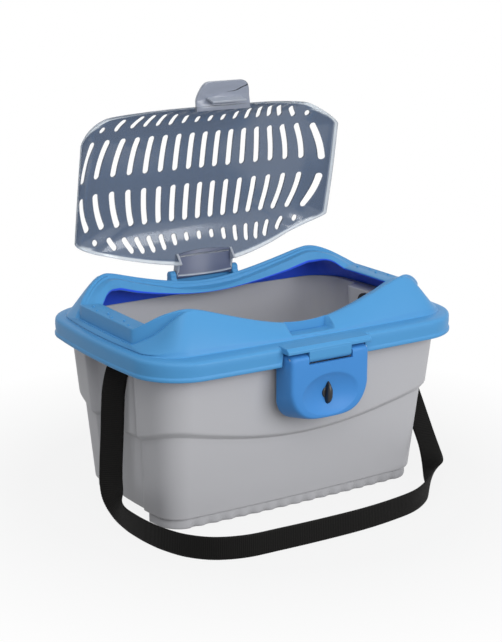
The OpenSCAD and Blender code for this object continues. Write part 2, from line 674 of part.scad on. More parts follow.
module latch() {
    difference() {
        union() {
            difference() {
                union() {
                    latch_slab(0, latch_face - latch_d, latch_face - 4);
                    hull() {
                        latch_slab(0, latch_face - 4.5, latch_face - 4);
                        latch_slab(3.5, latch_face - 0.5, latch_face);
                    }
                }
                difference() {
                    latch_slab(latch_t, latch_face - latch_d - 1, latch_face - latch_t - 1.5);
                    translate([0, dish_c, lock_z])
                        sphere(r = dish_r + latch_t, $fn = 96);
                }
            }
            translate([0, latch_face - dish_d - 1, lock_z])
                rotate([90, 0, 0])
                    cylinder(r = boss_r, h = latch_face - dish_d - 1 - cam_y - cam_t - cam_gap,
                        $fn = 48);
            for (s = [-1, 1])
                translate([s > 0 ? tongue_half + 0.6 : -latch_w / 2 + latch_t + 1,
                        latch_pin_y, latch_pin_z])
                    rotate([0, 90, 0])
                        cylinder(r = knuckle_r - 0.4,
                            h = latch_w / 2 - latch_t - 1 - tongue_half - 0.6, $fn = 48);
        }
        translate([0, dish_c, lock_z])
            sphere(r = dish_r, $fn = 96);
        translate([-tongue_half - 0.5, latch_face - latch_d - 1, latch_pin_z - knuckle_r - 1])
            cube([2 * tongue_half + 1, latch_d + 2, 3 * knuckle_r]);
        latch_pin_bore(1, pin_r + run_gap, latch_w / 2 - latch_t);
        difference() {
            translate([-latch_w, latch_pin_y, latch_pin_z])
                cube([2 * latch_w, latch_d, latch_d]);
            translate([-latch_w - 1, latch_pin_y, latch_pin_z])
                rotate([0, 90, 0])
                    cylinder(r = latch_round, h = 2 * latch_w + 2, $fn = 96);
        }
        translate([0, latch_face + 1, lock_z])
            rotate([90, 0, 0])
                cylinder(r = shaft_r + run_gap, h = latch_face + 1 - cam_y, $fn = 48);
        translate([keep_in - 1.5, latch_face - latch_d - 1, latch_low - 1])
            cube([keep_out - keep_in + 3, keep_front + keep_t + 1.8 - latch_face + latch_d,
                keeper_room]);
    }
}

module latch_pin() {
    latch_pin_bore(1, pin_r, latch_w / 2 - latch_t - 0.2);
}

foot_r = 8.5;              // radius of a knob's foot, which lies in the dish
knob_y = dish_c - sqrt(dish_r * dish_r - foot_r * foot_r) + seat_gap;
fin_r = 13;
fin_lift = 0.95;           // the fin reaches past the foot, over the rising dish
module lock_knob() {
    difference() {
        union() {
            translate([0, knob_y + 3.2, lock_z])
                rotate([90, 0, 0])
                    cylinder(r = foot_r, h = 3.2, $fn = 48);
            intersection() {
                translate([-3.2, knob_y - 1, lock_z])
                    rotate([0, 90, 0])
                        cylinder(r = fin_r, h = 6.4, $fn = 64);
                translate([-5, knob_y + fin_lift, lock_z - fin_r - 1])
                    cube([10, fin_r + 2, 2 * fin_r + 2]);
            }
            translate([0, knob_y + 0.1, lock_z])
                rotate([90, 0, 0])
                    cylinder(r = shaft_r, h = knob_y + 0.1 - cam_y - cam_t, $fn = 48);
        }
        translate([0, cam_y + screw_l + 0.5, lock_z])
            rotate([90, 0, 0])
                cylinder(r = screw_r + run_gap, h = screw_l + 2, $fn = 32);
    }
}

// The cam hangs down when unlocked and turns sideways, under the keeper's roof
screw_r = 1.5;
screw_l = 8;
module lock_cam() {
    difference() {
        union() {
            translate([0, cam_y + cam_t, lock_z])
                rotate([90, 0, 0])
                    cylinder(r = shaft_r + 1.5, h = cam_t, $fn = 48);
            translate([-cam_w / 2, cam_y, lock_z - cam_reach])
                cube([cam_w, cam_t, cam_reach]);
        }
        translate([0, cam_y + cam_t + 1, lock_z])
            rotate([90, 0, 0])
                cylinder(r = screw_r + run_gap, h = cam_t + 2, $fn = 32);
    }
}

module cam_screw() {
    translate([0, cam_y, lock_z])
        rotate([90, 0, 0])
            cylinder(r = screw_r * 2, h = screw_head, $fn = 32);
    translate([0, cam_y + screw_l, lock_z])
        rotate([90, 0, 0])
            cylinder(r = screw_r, h = screw_l + screw_head / 2, $fn = 32);
}

// The rear latch and lock are the front ones turned half round about Z
module front() {
    rotate([0, 0, 180])
        children();
}
module front_latch() { color(blue) front() latch(); }
module rear_latch() { color(blue) latch(); }
module front_latch_pin() { color(steel) front() latch_pin(); }
module rear_latch_pin() { color(steel) latch_pin(); }
module front_lock_knob() { color(black) front() lock_knob(); }
module rear_lock_knob() { color(black) lock_knob(); }
module front_lock_cam() { color(black) front() lock_cam(); }
module rear_lock_cam() { color(black) lock_cam(); }
module front_cam_screw() { color(steel) front() cam_screw(); }
module rear_cam_screw() { color(steel) cam_screw(); }

// ---------- strap anchors ----------
head_t = 3;
washer_t = 1.6;
anchor_out = recess_x(anchor_z);           // outside of the recess floor
anchor_in = anchor_out - tub_t;            // inside of it
head_lift = 0.9;                           // the wall leans: room for the flat head
web_gap = 1.1;             // room for the webbing between the leaning wall and the washer
washer_x = anchor_out + strap_t + web_gap; // inner face of the washer over the webbing
stem_proud = 0.8;          // how far a stem stands out past its washer
eyelet_run = 20;           // length of the cut for a stem through the webbing
module strap_button() {
    translate([anchor_in - head_lift - head_t, anchor_y, anchor_z])
        rotate([0, 90, 0]) {
            cylinder(r = button_d / 2, h = head_t, $fn = 64);
            cylinder(r = stem_d / 2, h = washer_x + washer_t + stem_proud - anchor_in
                + head_lift + head_t, $fn = 48);
        }
}
module strap_washer() {
    translate([washer_x, anchor_y, anchor_z])
        rotate([0, 90, 0])
            difference() {
                cylinder(r = washer_d / 2, h = washer_t, $fn = 64);
                translate([0, 0, -1])
                    cylinder(r = stem_d / 2 + stem_gap, h = washer_t + 2, $fn = 48);
            }
}
module right_strap_button() { color(black) strap_button(); }
module left_strap_button() { color(black) rotate([0, 0, 180]) strap_button(); }
module right_strap_washer() { color(black) strap_washer(); }
module left_strap_washer() { color(black) rotate([0, 0, 180]) strap_washer(); }

// ---------- strap: webbing that hangs from both ends and stands on its edge in front ----------
// Stations: middle of the webbing, then the plan angle of its width and its tilt from level
strap_route = [
    [-168.5, -14, 187, -90, 0], [-168.5, -14, 176, -90, 0], [-169, -14, 166, -90, 0],
    [-174, -14, 154, -74, 0], [-180, -14, 138, -54, 0], [-182, -14, 120, -45, 0],
    [-184, -14, 91, -38, 0], [-186, -14, 60, -36, 0], [-187, -15, 40, -34, 8],
    [-188, -20, 26, -38, 28], [-190, -34, 16, -60, 62], [-192, -54, 12.8, -80, 86],
    [-192, -77, 12.6, -90, 90], [-190, -100, 12.6, -90, 90], [-185, -124, 12.6, -90, 90],
    [-174, -150, 12.6, -90, 90], [-154, -171, 12.6, -90, 90], [-124, -183, 12.6, -90, 90],
    [-86, -186, 12.6, -90, 90], [-39, -188, 12.6, -90, 90], [12, -188, 12.6, -90, 90],
    [55, -184, 12.6, -90, 90], [92, -176, 12.6, -90, 90], [122, -159, 12.8, -80, 88],
    [144, -138, 13, -60, 74], [160, -120, 14, -40, 45], [174, -104, 18, -26, 18],
    [184, -86, 26, -18, 0], [190, -66, 42, -18, -6], [192, -47, 64, -26, -6],
    [191, -29, 90, -40, -4], [187, -12, 118, -56, 0], [182, 2, 140, -64, 0],
    [175, 11, 155, -78, 0], [169, 14, 166, -90, 0], [168.5, 14, 176, -90, 0],
    [168.5, 14, 187, -90, 0]];
strap_steps = 2;
function spline(a, b, c, d, t) = 0.5 * (2 * b + (c - a) * t
    + (2 * a - 5 * b + 4 * c - d) * t * t + (3 * b - a - 3 * c + d) * t * t * t);
function strap_at(i, t) = let (n = len(strap_route) - 1)
    spline(strap_route[max(0, i - 1)], strap_route[i], strap_route[min(n, i + 1)],
        strap_route[min(n, i + 2)], t);
strap_line = concat([for (i = [0:len(strap_route) - 2], k = [0:strap_steps - 1])
    strap_at(i, k / strap_steps)], [strap_route[len(strap_route) - 1]]);
function place(r) = [r[0], r[1], r[2]];
function unit(v) = v / norm(v);
function strap_ring(i) =
    let (n = len(strap_line) - 1, r = strap_line[i],
        along = unit(place(strap_line[min(n, i + 1)]) - place(strap_line[max(0, i - 1)])),
        w0 = [cos(r[4]) * cos(r[3]), cos(r[4]) * sin(r[3]), sin(r[4])],
        wide = unit(w0 - (w0 * along) * along), thick = cross(along, wide),
        a = strap_w / 2, b = strap_t / 2, e = b * 0.6)
    [for (c = [[a, e - b], [a, b - e], [a - e, b], [e - a, b],
        [-a, b - e], [-a, e - b], [e - a, -b], [a - e, -b]])
        place(r) + c.x * wide + c.y * thick];
module strap() {
    color(black)
    difference() {
        skin([for (i = [0:len(strap_line) - 1]) strap_ring(i)]);
        for (s = [-1, 1])
            translate([s > 0 ? anchor_in : -anchor_in - eyelet_run, s * anchor_y, anchor_z])
                rotate([0, 90, 0])
                    cylinder(r = stem_d / 2 + stem_gap, h = eyelet_run, $fn = 48);
    }
}

tub();
cover();
lid();
lid_hinge_pin();
front_latch();
rear_latch();
front_latch_pin();
rear_latch_pin();
front_lock_knob();
rear_lock_knob();
front_lock_cam();
rear_lock_cam();
front_cam_screw();
rear_cam_screw();
left_strap_button();
right_strap_button();
left_strap_washer();
right_strap_washer();
strap();
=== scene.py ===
"""Small-animal carrier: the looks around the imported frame.

The object is a grey tub, a lift-off blue cover ring, a see-through vented lid on a rear
hinge, two drop latches with turn locks and a webbing shoulder strap.  Sizes are in
millimetres and become metres when a mesh is made.  +X runs along the length, the front
latch faces -Y, and the lid is drawn standing open.
"""

from __future__ import annotations

import logging
import math
from dataclasses import dataclass, field
from enum import Enum
from itertools import product

import bpy
import numpy as np
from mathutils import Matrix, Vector


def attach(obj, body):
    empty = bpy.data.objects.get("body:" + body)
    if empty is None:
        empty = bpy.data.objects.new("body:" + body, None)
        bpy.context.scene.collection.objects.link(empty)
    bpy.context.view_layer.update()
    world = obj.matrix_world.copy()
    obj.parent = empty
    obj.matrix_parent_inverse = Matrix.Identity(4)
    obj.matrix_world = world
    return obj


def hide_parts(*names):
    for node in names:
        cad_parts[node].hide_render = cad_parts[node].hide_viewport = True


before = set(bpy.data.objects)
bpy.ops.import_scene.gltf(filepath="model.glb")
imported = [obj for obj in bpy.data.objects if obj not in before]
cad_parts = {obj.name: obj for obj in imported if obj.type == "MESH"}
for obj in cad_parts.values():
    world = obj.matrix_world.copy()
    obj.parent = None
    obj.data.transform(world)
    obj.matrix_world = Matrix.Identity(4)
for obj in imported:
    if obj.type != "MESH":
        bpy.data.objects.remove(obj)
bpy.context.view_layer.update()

logging.basicConfig(level=logging.INFO, format="%(name)s: %(message)s")
LOG = logging.getLogger("carrier")

MM = 0.001
FAR = 500.0  # past every point of the part
OFF_END = 9.0  # the place along an end of a point that lies on none
Array = np.ndarray


# ---------------------------------------------------------------- small maths
def smooth(t: Array | float) -> Array:
    """Eased step: 0 below 0, 1 above 1 and 3t^2 - 2t^3 between."""
    c = np.clip(t, 0.0, 1.0)
    return c * c * (3 - 2 * c)


def lerp(a: Array | float, b: Array | float, t: Array | float) -> Array:
    """Straight blend from a at t = 0 to b at t = 1."""
    return a + (b - a) * t


def unit(v: Array) -> Array:
    """Each row of v at length one."""
    return v / np.maximum(np.linalg.norm(v, axis=-1, keepdims=True), 1e-9)


def arc(start: float, stop: float, count: int) -> Array:
    """Points of the unit circle from one angle in degrees to another.

    Args:
        start: first angle.
        stop: last angle.
        count: number of points.

    Returns:
        The x, y rows.
    """
    a = np.radians(np.linspace(start, stop, count))
    return np.stack([np.cos(a), np.sin(a)], -1)


def turned_x(points: Array, degrees: float, y: float, z: float) -> Array:
    """Points turned about the line through (y, z) that runs along X.

    Args:
        points: rows of x, y, z.
        degrees: right-hand angle about +X.
        y: the line's y.
        z: the line's z.

    Returns:
        The turned points.
    """
    a = math.radians(degrees)
    dy, dz = points[..., 1] - y, points[..., 2] - z
    out = points.copy()
    out[..., 1] = y + dy * math.cos(a) - dz * math.sin(a)
    out[..., 2] = z + dy * math.sin(a) + dz * math.cos(a)
    return out


@dataclass(frozen=True)
class Stations:
    """Where every plan loop has its points, so that loops join into rows of quads.

    corner: angles of a corner's points, in degrees.
    shared: distances from the middle at which all loops have a point along a side.
    spread: points between the last shared one and the corner.
    end: places along a straight end, as shares of its half length.
    """

    corner: Array
    shared: Array
    spread: int
    end: Array

    def side(self, corner_x: float) -> Array:
        """X of a side's points, from +corner_x to -corner_x without the corners.

        Args:
            corner_x: x at which the corner starts.

        Returns:
            The x values, one per point.
        """
        t = np.arange(1, self.spread + 1) / (self.spread + 1)
        outer = lerp(corner_x, self.shared[-1], t)
        half = np.concatenate([outer, self.shared[:0:-1]])
        return np.concatenate([half, [0.0], -half[::-1]])

    def end_share(self) -> Array:
        """For every point of a loop, its place along a straight end, or OFF_END.

        Returns:
            A place from -1 to 1 for each point on an end.
        """
        far = np.full(len(self.corner), OFF_END)
        side = np.full(len(self.side(FAR)), OFF_END)
        half = np.concatenate([far, side, far])
        return np.concatenate([half, self.end, half, self.end])


def plan(
    st: Stations, a: float, b: float, ex: float, ey: float, power: float = 1.0,
    bow_x: float = 0.0, bow_y: float = 0.0,
) -> Array:
    """Loop of a rounded, bowed rectangle, anticlockwise from the middle of its right end.

    A corner is a superellipse quarter with half axes ex and ey and the given power.  The
    ends are pushed out by bow_x (1 - (y/b)^2) and the sides by bow_y (1 - (x/a)^2).

    Args:
        st: the loop's stations.
        a: half length.
        b: half width.
        ex: corner size along X.
        ey: corner size along Y.
        power: 1 for an ellipse, more for a chamfer-like corner.
        bow_x: outward bow of the ends.
        bow_y: outward bow of the sides.

    Returns:
        The loop's points, one x, y row each.
    """
    cx, cy = a - ex, b - ey
    t = np.radians(st.corner)
    c, s = np.cos(t) ** power, np.clip(np.sin(t), 0, None) ** power
    side, end = st.side(cx), st.end * cy
    x = np.concatenate([cx + ex * c, side, -cx - ex * s, np.full(len(end), -a),
                        -cx - ex * c, -side, cx + ex * s, np.full(len(end), a)])
    y = np.concatenate([cy + ey * s, np.full(len(side), b), cy + ey * c, -end,
                        -cy - ey * s, np.full(len(side), -b), -cy - ey * c, end])
    push_x = np.where(np.abs(x) >= cx - 1e-3, np.sign(x) * bow_x * (1 - (y / b) ** 2), 0)
    push_y = np.where(np.abs(y) >= cy - 1e-3, np.sign(y) * bow_y * (1 - (x / a) ** 2), 0)
    return np.stack([x + push_x, y + push_y], -1)


def at_z(loop: Array, z: Array | float) -> Array:
    """The loop at height z."""
    return np.concatenate([loop, np.broadcast_to(z, len(loop))[:, None]], 1)


def filleted(rows: list[tuple[Array, float]], ring: bool = False, n: int = 5) -> Array:
    """Rows with each corner of the profile rounded by a quadratic arc.

    Where a row has a radius r, it becomes n rows on the curve from r before the row to r
    past it, which the row's own points pull.  r shrinks where neighbours lie close.

    Args:
        rows: each row's points with its radius, 0 to leave the row as it is.
        ring: whether the last row joins the first.
        n: rows per rounded corner.

    Returns:
        The new rows as one array.
    """
    out = []
    count = len(rows)
    for k, (p, r) in enumerate(rows):
        if r <= 0 or (not ring and k in (0, count - 1)):
            out.append(p)
            continue
        before, after = rows[k - 1][0] - p, rows[(k + 1) % count][0] - p
        lb = np.linalg.norm(before, axis=1, keepdims=True)
        la = np.linalg.norm(after, axis=1, keepdims=True)
        start = p + before * (np.minimum(r, 0.45 * lb) / np.maximum(lb, 1e-6))
        stop = p + after * (np.minimum(r, 0.45 * la) / np.maximum(la, 1e-6))
        for t in np.linspace(0, 1, n):
            out.append((1 - t) ** 2 * start + 2 * t * (1 - t) * p + t * t * stop)
    return np.array(out)


# ---------------------------------------------------------------- meshes
class Body(str, Enum):
    """The bodies of the frame."""

    TUB = "tub"
    COVER = "cover"
    LID = "lid"
    FRONT_LATCH = "front_latch"
    REAR_LATCH = "rear_latch"
    FRONT_LOCK = "front_lock"
    REAR_LOCK = "rear_lock"


class Slot(str, Enum):
    """The record's material slots."""

    TUB = "tub_grey"
    COVER = "cover_blue"
    LATCH = "latch_blue"
    LID = "lid_smoke"
    BLACK = "black_plastic"
    STEEL = "steel"
    WEBBING = "webbing"


def added(name: str, data: bpy.types.ID) -> bpy.types.Object:
    """A new object with that data, linked to the scene.

    Args:
        name: the object's name.
        data: its mesh, camera or light.

    Returns:
        The object.
    """
    obj = bpy.data.objects.new(name, data)
    bpy.context.scene.collection.objects.link(obj)
    return obj


def mesh_object(
    name: str, points: Array, faces: list, smooth_angle: float | None = None,
) -> bpy.types.Object:
    """A mesh object at the origin from points in millimetres, with its faces outwards.

    Args:
        name: the piece's name.
        points: rows of x, y, z.
        faces: lists of point numbers.
        smooth_angle: None to shade every edge smooth, or the angle in degrees past which
            an edge stays sharp.

    Returns:
        The object, linked to the scene.
    """
    mesh = bpy.data.meshes.new(name)
    mesh.from_pydata((points * MM).tolist(), [], faces)
    mesh.validate()
    mesh.update()
    obj = added(name, mesh)
    mesh.calc_loop_triangles()
    tri = np.empty(len(mesh.loop_triangles) * 3, np.int32)
    mesh.loop_triangles.foreach_get("vertices", tri)
    p = (points * MM)[tri.reshape(-1, 3)]
    if np.einsum("ij,ij->", p[:, 0], np.cross(p[:, 1], p[:, 2])) < 0:
        mesh.flip_normals()
    mesh.polygons.foreach_set("use_smooth", np.ones(len(mesh.polygons), bool))
    if smooth_angle is not None:
        mesh.set_sharp_from_angle(angle=math.radians(smooth_angle))
    return obj


def grid_faces(m: int, n: int, ring: bool = False) -> list[list[int]]:
    """Quads between m rows of n looped points, and from last to first in a ring.

    Args:
        m: number of rows.
        n: points in a row.
        ring: whether the last row joins the first.

    Returns:
        Lists of four point numbers.
    """
    rows = np.arange(m if ring else m - 1)[:, None]
    cols = np.arange(n)[None, :]
    r2, c2 = (rows + 1) % m, (cols + 1) % n
    quads = [rows * n + cols, rows * n + c2, r2 * n + c2, r2 * n + cols]
    return np.stack(quads, -1).reshape(-1, 4).tolist()


def bar_data(rows: Array) -> tuple[Array, list]:
    """Points and faces of a bar through rows of looped points, with a flat face at each end.

    Args:
        rows: an array of rows, points and x, y, z.

    Returns:
        Points and faces.
    """
    m, n = rows.shape[:2]
    caps = [list(range(n))[::-1], list(range((m - 1) * n, m * n))]
    return rows.reshape(-1, 3), grid_faces(m, n) + caps


def fan_data(rows: Array) -> tuple[Array, list]:
    """Points and faces of a skin through rows, each end closed by a fan to its middle.

    Args:
        rows: an array of rows, points and x, y, z.

    Returns:
        Points and faces.
    """
    m, n = rows.shape[:2]
    points = np.concatenate([rows.reshape(-1, 3), rows[:1].mean(1), rows[-1:].mean(1)])
    near, base = np.arange(n), (m - 1) * n
    nxt = (near + 1) % n
    fans = [np.stack([nxt, near, np.full(n, m * n)], 1).tolist(),
            np.stack([base + near, base + nxt, np.full(n, m * n + 1)], 1).tolist()]
    return points, grid_faces(m, n) + fans[0] + fans[1]


def shell(name: str, rows: Array, ring: bool = False, poles: bool = True
          ) -> bpy.types.Object:
    """Closed skin through rows of looped points.

    Args:
        name: the piece's name.
        rows: an array of rows, points and x, y, z.
        ring: whether the last row joins the first; otherwise both ends are closed.
        poles: close an end by a fan to its middle, or by one flat face.

    Returns:
        The object.
    """
    if ring:
        return mesh_object(name, rows.reshape(-1, 3), grid_faces(*rows.shape[:2], True))
    return mesh_object(name, *(fan_data(rows) if poles else bar_data(rows)))


def prism_data(outline: Array, half: float, middle: float = 0.0) -> tuple[Array, list]:
    """Points and faces of a bar along X whose section is an outline of y, z rows.

    Args:
        outline: the section.
        half: half the length.
        middle: x of the middle.

    Returns:
        Points and faces.
    """
    n = len(outline)
    return bar_data(np.array([np.column_stack([np.full(n, middle + s * half), outline])
                              for s in (-1, 1)]))


def joined(parts: list[tuple[Array, list]]) -> tuple[Array, list]:
    """Several sets of points and faces as one.

    Args:
        parts: points and faces of each.

    Returns:
        Points and faces.
    """
    points, faces, base = [], [], 0
    for p, f in parts:
        points.append(p)
        faces += [[i + base for i in face] for face in f]
        base += len(p)
    return np.concatenate(points), faces


def box_data(low: tuple, high: tuple) -> tuple[Array, list]:
    """Points and faces of a box between two corners.

    Args:
        low: the corner with the least x, y and z.
        high: the opposite corner.

    Returns:
        Points and faces.
    """
    (x0, y0, z0), (x1, y1, z1) = low, high
    outline = np.array([[y0, z0], [y1, z0], [y1, z1], [y0, z1]], float)
    return prism_data(outline, (x1 - x0) / 2, (x0 + x1) / 2)


def bevelled(obj: bpy.types.Object, width: float, segments: int = 3,
             angle: float = 35.0) -> bpy.types.Object:
    """Adds a bevel of that width in millimetres to every edge sharper than the angle.

    Args:
        obj: the piece.
        width: distance from the edge to the bevel's side.
        segments: faces across the bevel.
        angle: least angle of an edge that is bevelled, in degrees.

    Returns:
        The piece.
    """
    mod = obj.modifiers.new("edge_round", "BEVEL")
    mod.width, mod.segments = width * MM, segments
    mod.limit_method, mod.angle_limit = "ANGLE", math.radians(angle)
    applied(obj)
    return obj


def applied(obj: bpy.types.Object) -> bpy.types.Object:
    """Puts the modifiers' result into the object's own mesh.

    Args:
        obj: the piece.

    Returns:
        The piece, without modifiers.
    """
    graph = bpy.context.evaluated_depsgraph_get()
    mesh = bpy.data.meshes.new_from_object(obj.evaluated_get(graph))
    obj.modifiers.clear()
    obj.data = mesh
    mesh.name = obj.name
    return obj


def cut_by(obj: bpy.types.Object, cutter: bpy.types.Object) -> bpy.types.Object:
    """Takes the closed cutter out of the closed object and deletes the cutter.

    Args:
        obj: the piece that is cut.
        cutter: the closed mesh that cuts it.

    Returns:
        The piece.
    """
    mod = obj.modifiers.new("cut", "BOOLEAN")
    mod.operation, mod.object, mod.solver = "DIFFERENCE", cutter, "MANIFOLD"
    applied(obj)
    bpy.data.objects.remove(cutter)
    return obj


def sharpened(obj: bpy.types.Object, angle: float) -> bpy.types.Object:
    """Shades the mesh smooth except at edges sharper than the angle.

    Args:
        obj: the piece.
        angle: the angle in degrees.

    Returns:
        The piece.
    """
    mesh = obj.data
    mesh.polygons.foreach_set("use_smooth", np.ones(len(mesh.polygons), bool))
    mesh.set_sharp_from_angle(angle=math.radians(angle))
    return obj


def point_values(obj: bpy.types.Object, name: str, values: Array) -> None:
    """Stores one number per mesh point under that attribute name."""
    layer = obj.data.attributes.new(name, "FLOAT", "POINT")
    layer.data.foreach_set("value", values.astype(np.float32))


def coordinates(obj: bpy.types.Object) -> Array:
    """The mesh's points in millimetres.

    Args:
        obj: the piece.

    Returns:
        Rows of x, y, z.
    """
    co = np.empty(len(obj.data.vertices) * 3, np.float32)
    obj.data.vertices.foreach_get("co", co)
    return co.reshape(-1, 3) / MM


def put_points(obj: bpy.types.Object, points: Array) -> None:
    """Moves the mesh's points to those rows of x, y, z in millimetres."""
    obj.data.vertices.foreach_set("co", (points * MM).astype(np.float32).ravel())
    obj.data.update()


def normals(obj: bpy.types.Object) -> Array:
    """The mesh's point normals.

    Args:
        obj: the piece.

    Returns:
        Rows of x, y, z.
    """
    out = np.empty(len(obj.data.vertices) * 3, np.float32)
    obj.data.vertex_normals.foreach_get("vector", out)
    return out.reshape(-1, 3)


# ---------------------------------------------------------------- finishes
def wired(tree: bpy.types.NodeTree, kind: str, inputs: dict | None = None,
          **settings: str) -> bpy.types.Node:
    """A new shader node.

    Args:
        tree: the tree that it goes into.
        kind: its type.
        inputs: for each input, its value or the output that feeds it.
        settings: the node's own properties, set before its inputs.

    Returns:
        The node.
    """
    node = tree.nodes.new(kind)
    for name, value in settings.items():
        setattr(node, name, value)
    for key, value in (inputs or {}).items():
        if isinstance(value, bpy.types.NodeSocket):
            tree.links.new(value, node.inputs[key])
        else:
            node.inputs[key].default_value = value
    return node


def maths(tree: bpy.types.NodeTree, operation: str, *values: object
          ) -> bpy.types.NodeSocket:
    """Output of a math node with that operation on the values."""
    node = wired(tree, "ShaderNodeMath", dict(enumerate(values)), operation=operation)
    return node.outputs[0]


def blended(tree: bpy.types.NodeTree, share: bpy.types.NodeSocket, a: object, b: object
            ) -> bpy.types.NodeSocket:
    """Colour output that goes from a to b as share goes from 0 to 1."""
    mix = wired(tree, "ShaderNodeMix", {0: share, 6: a, 7: b}, data_type="RGBA")
    return mix.outputs[2]


def principled(name: str, values: dict) -> tuple[bpy.types.Material, bpy.types.Node]:
    """A new material and its Principled shader, with those input values.

    Args:
        name: the material's name.
        values: for each input, its value.

    Returns:
        The material and the shader.
    """
    mat = bpy.data.materials.new(name)
    mat.use_nodes = True
    shader = mat.node_tree.nodes["Principled BSDF"]
    for label, value in values.items():
        shader.inputs[label].default_value = value
    return mat, shader


def moulded_group() -> bpy.types.NodeTree:
    """Shader group for moulded plastic, on Object coordinates.

    Fine grain becomes a bumped normal, a slow cloud becomes a colour value around 1, and
    a middling one becomes a roughness value around 0.

    Returns:
        The node group, built once.
    """
    found = bpy.data.node_groups.get("moulded surface")
    if found:
        return found
    group = bpy.data.node_groups.new("moulded surface", "ShaderNodeTree")
    for label in ("Grain Scale", "Grain Depth", "Cloud", "Rough Cloud"):
        group.interface.new_socket(label, in_out="INPUT", socket_type="NodeSocketFloat")
    for label, kind in (("Tint", "Float"), ("Rough", "Float"), ("Normal", "Vector")):
        group.interface.new_socket(label, in_out="OUTPUT",
                                   socket_type=f"NodeSocket{kind}")
    given = wired(group, "NodeGroupInput").outputs
    out = wired(group, "NodeGroupOutput").inputs
    coord = wired(group, "ShaderNodeTexCoord").outputs["Object"]
    grain = wired(group, "ShaderNodeTexNoise",
                  {"Vector": coord, "Scale": given["Grain Scale"], "Detail": 2.0})
    bump = wired(group, "ShaderNodeBump",
                 {"Distance": 0.0002, "Strength": given["Grain Depth"],
                  "Height": grain.outputs["Fac"]})
    group.links.new(bump.outputs["Normal"], out["Normal"])
    for label, scale, base, target in (("Cloud", 7.0, 1.0, "Tint"),
                                       ("Rough Cloud", 34.0, 0.0, "Rough")):
        cloud = wired(group, "ShaderNodeTexNoise",
                      {"Vector": coord, "Scale": scale, "Detail": 3.0})
        centred = maths(group, "SUBTRACT", cloud.outputs["Fac"], 0.5)
        group.links.new(maths(group, "MULTIPLY_ADD", centred, given[label], base),
                        out[target])
    return group


@dataclass(frozen=True)
class Moulded:
    """Finish of a moulded plastic: its colour, gloss, grain and clouding."""

    name: str
    colour: tuple[float, float, float]
    roughness: float = 0.4
    grain_scale: float = 900.0
    grain_depth: float = 0.1
    cloud: float = 0.04
    rough_cloud: float = 0.06
    specular: float = 0.5
    ior: float = 1.47
    metallic: float = 0.0
    see_through: float = 0.0
    # colour mixed in as painted light: painted shade or a painted highlight
    painted_light_colour: tuple[float, float, float] | None = None

    def material(self) -> bpy.types.Material:
        """The material, built once.

        Returns:
            A Principled material that reads Object coordinates, and the point attribute
            "painted_light" where the finish has painted shade or a painted highlight.
        """
        mat = bpy.data.materials.get(self.name)
        if mat:
            return mat
        mat, shader = principled(self.name, {
            "IOR": self.ior, "Specular IOR Level": self.specular,
            "Metallic": self.metallic, "Transmission Weight": self.see_through})
        tree = mat.node_tree
        group = tree.nodes.new("ShaderNodeGroup")
        group.node_tree = moulded_group()
        for label, value in (("Grain Scale", self.grain_scale),
                             ("Grain Depth", self.grain_depth), ("Cloud", self.cloud),
                             ("Rough Cloud", self.rough_cloud)):
            group.inputs[label].default_value = value
        colour = wired(tree, "ShaderNodeVectorMath",
                       {0: self.colour, "Scale": group.outputs["Tint"]},
                       operation="SCALE").outputs[0]
        # painted light: mixes in the painted shade or painted highlight colour by the point
        # attribute
        if self.painted_light_colour:
            painted_light = wired(tree, "ShaderNodeAttribute", attribute_name="painted_light")
            colour = blended(tree, painted_light.outputs["Fac"], colour,
                             (*self.painted_light_colour, 1))
        rough = maths(tree, "ADD", group.outputs["Rough"], self.roughness)
        for source, label in ((colour, "Base Color"), (rough, "Roughness"),
                              (group.outputs["Normal"], "Normal")):
            tree.links.new(source, shader.inputs[label])
        return mat


@dataclass(frozen=True)
class Webbing:
    """Finish of woven webbing, on the strap's own UV map: metres along and across."""

    name: str = "black webbing"
    thread: tuple[float, float, float] = (0.007, 0.0065, 0.006)
    gap: tuple[float, float, float] = (0.002, 0.002, 0.002)
    thread_width: float = 1.1
    thread_share: float = 0.35
    rib: float = 2.1
    roughness: float = 0.62
    specular: float = 0.1

    def material(self) -> bpy.types.Material:
        """The material: ribs across the webbing, threads along it.

        Returns:
            A Principled material whose colour and bump follow two crossed waves.
        """
        mat, shader = principled(self.name, {"Roughness": self.roughness,
                                             "Specular IOR Level": self.specular})
        tree = mat.node_tree
        uv = wired(tree, "ShaderNodeUVMap", uv_map="webbing")
        split = wired(tree, "ShaderNodeSeparateXYZ", {0: uv.outputs[0]})
        waves = []
        for axis, pitch in ((0, self.rib * MM), (1, self.thread_width * MM)):
            turn = maths(tree, "MULTIPLY", split.outputs[axis], 2 * math.pi / pitch)
            waves.append(maths(tree, "SINE", turn))
        both = maths(tree, "MULTIPLY_ADD", waves[1], self.thread_share, waves[0])
        share = wired(tree, "ShaderNodeMapRange", {0: both, 1: -1.0, 2: 1.0}).outputs[0]
        bump = wired(tree, "ShaderNodeBump",
                     {"Strength": 0.5, "Distance": 0.0003, "Height": share})
        colour = blended(tree, share, (*self.gap, 1), (*self.thread, 1))
        tree.links.new(colour, shader.inputs["Base Color"])
        tree.links.new(bump.outputs["Normal"], shader.inputs["Normal"])
        return mat


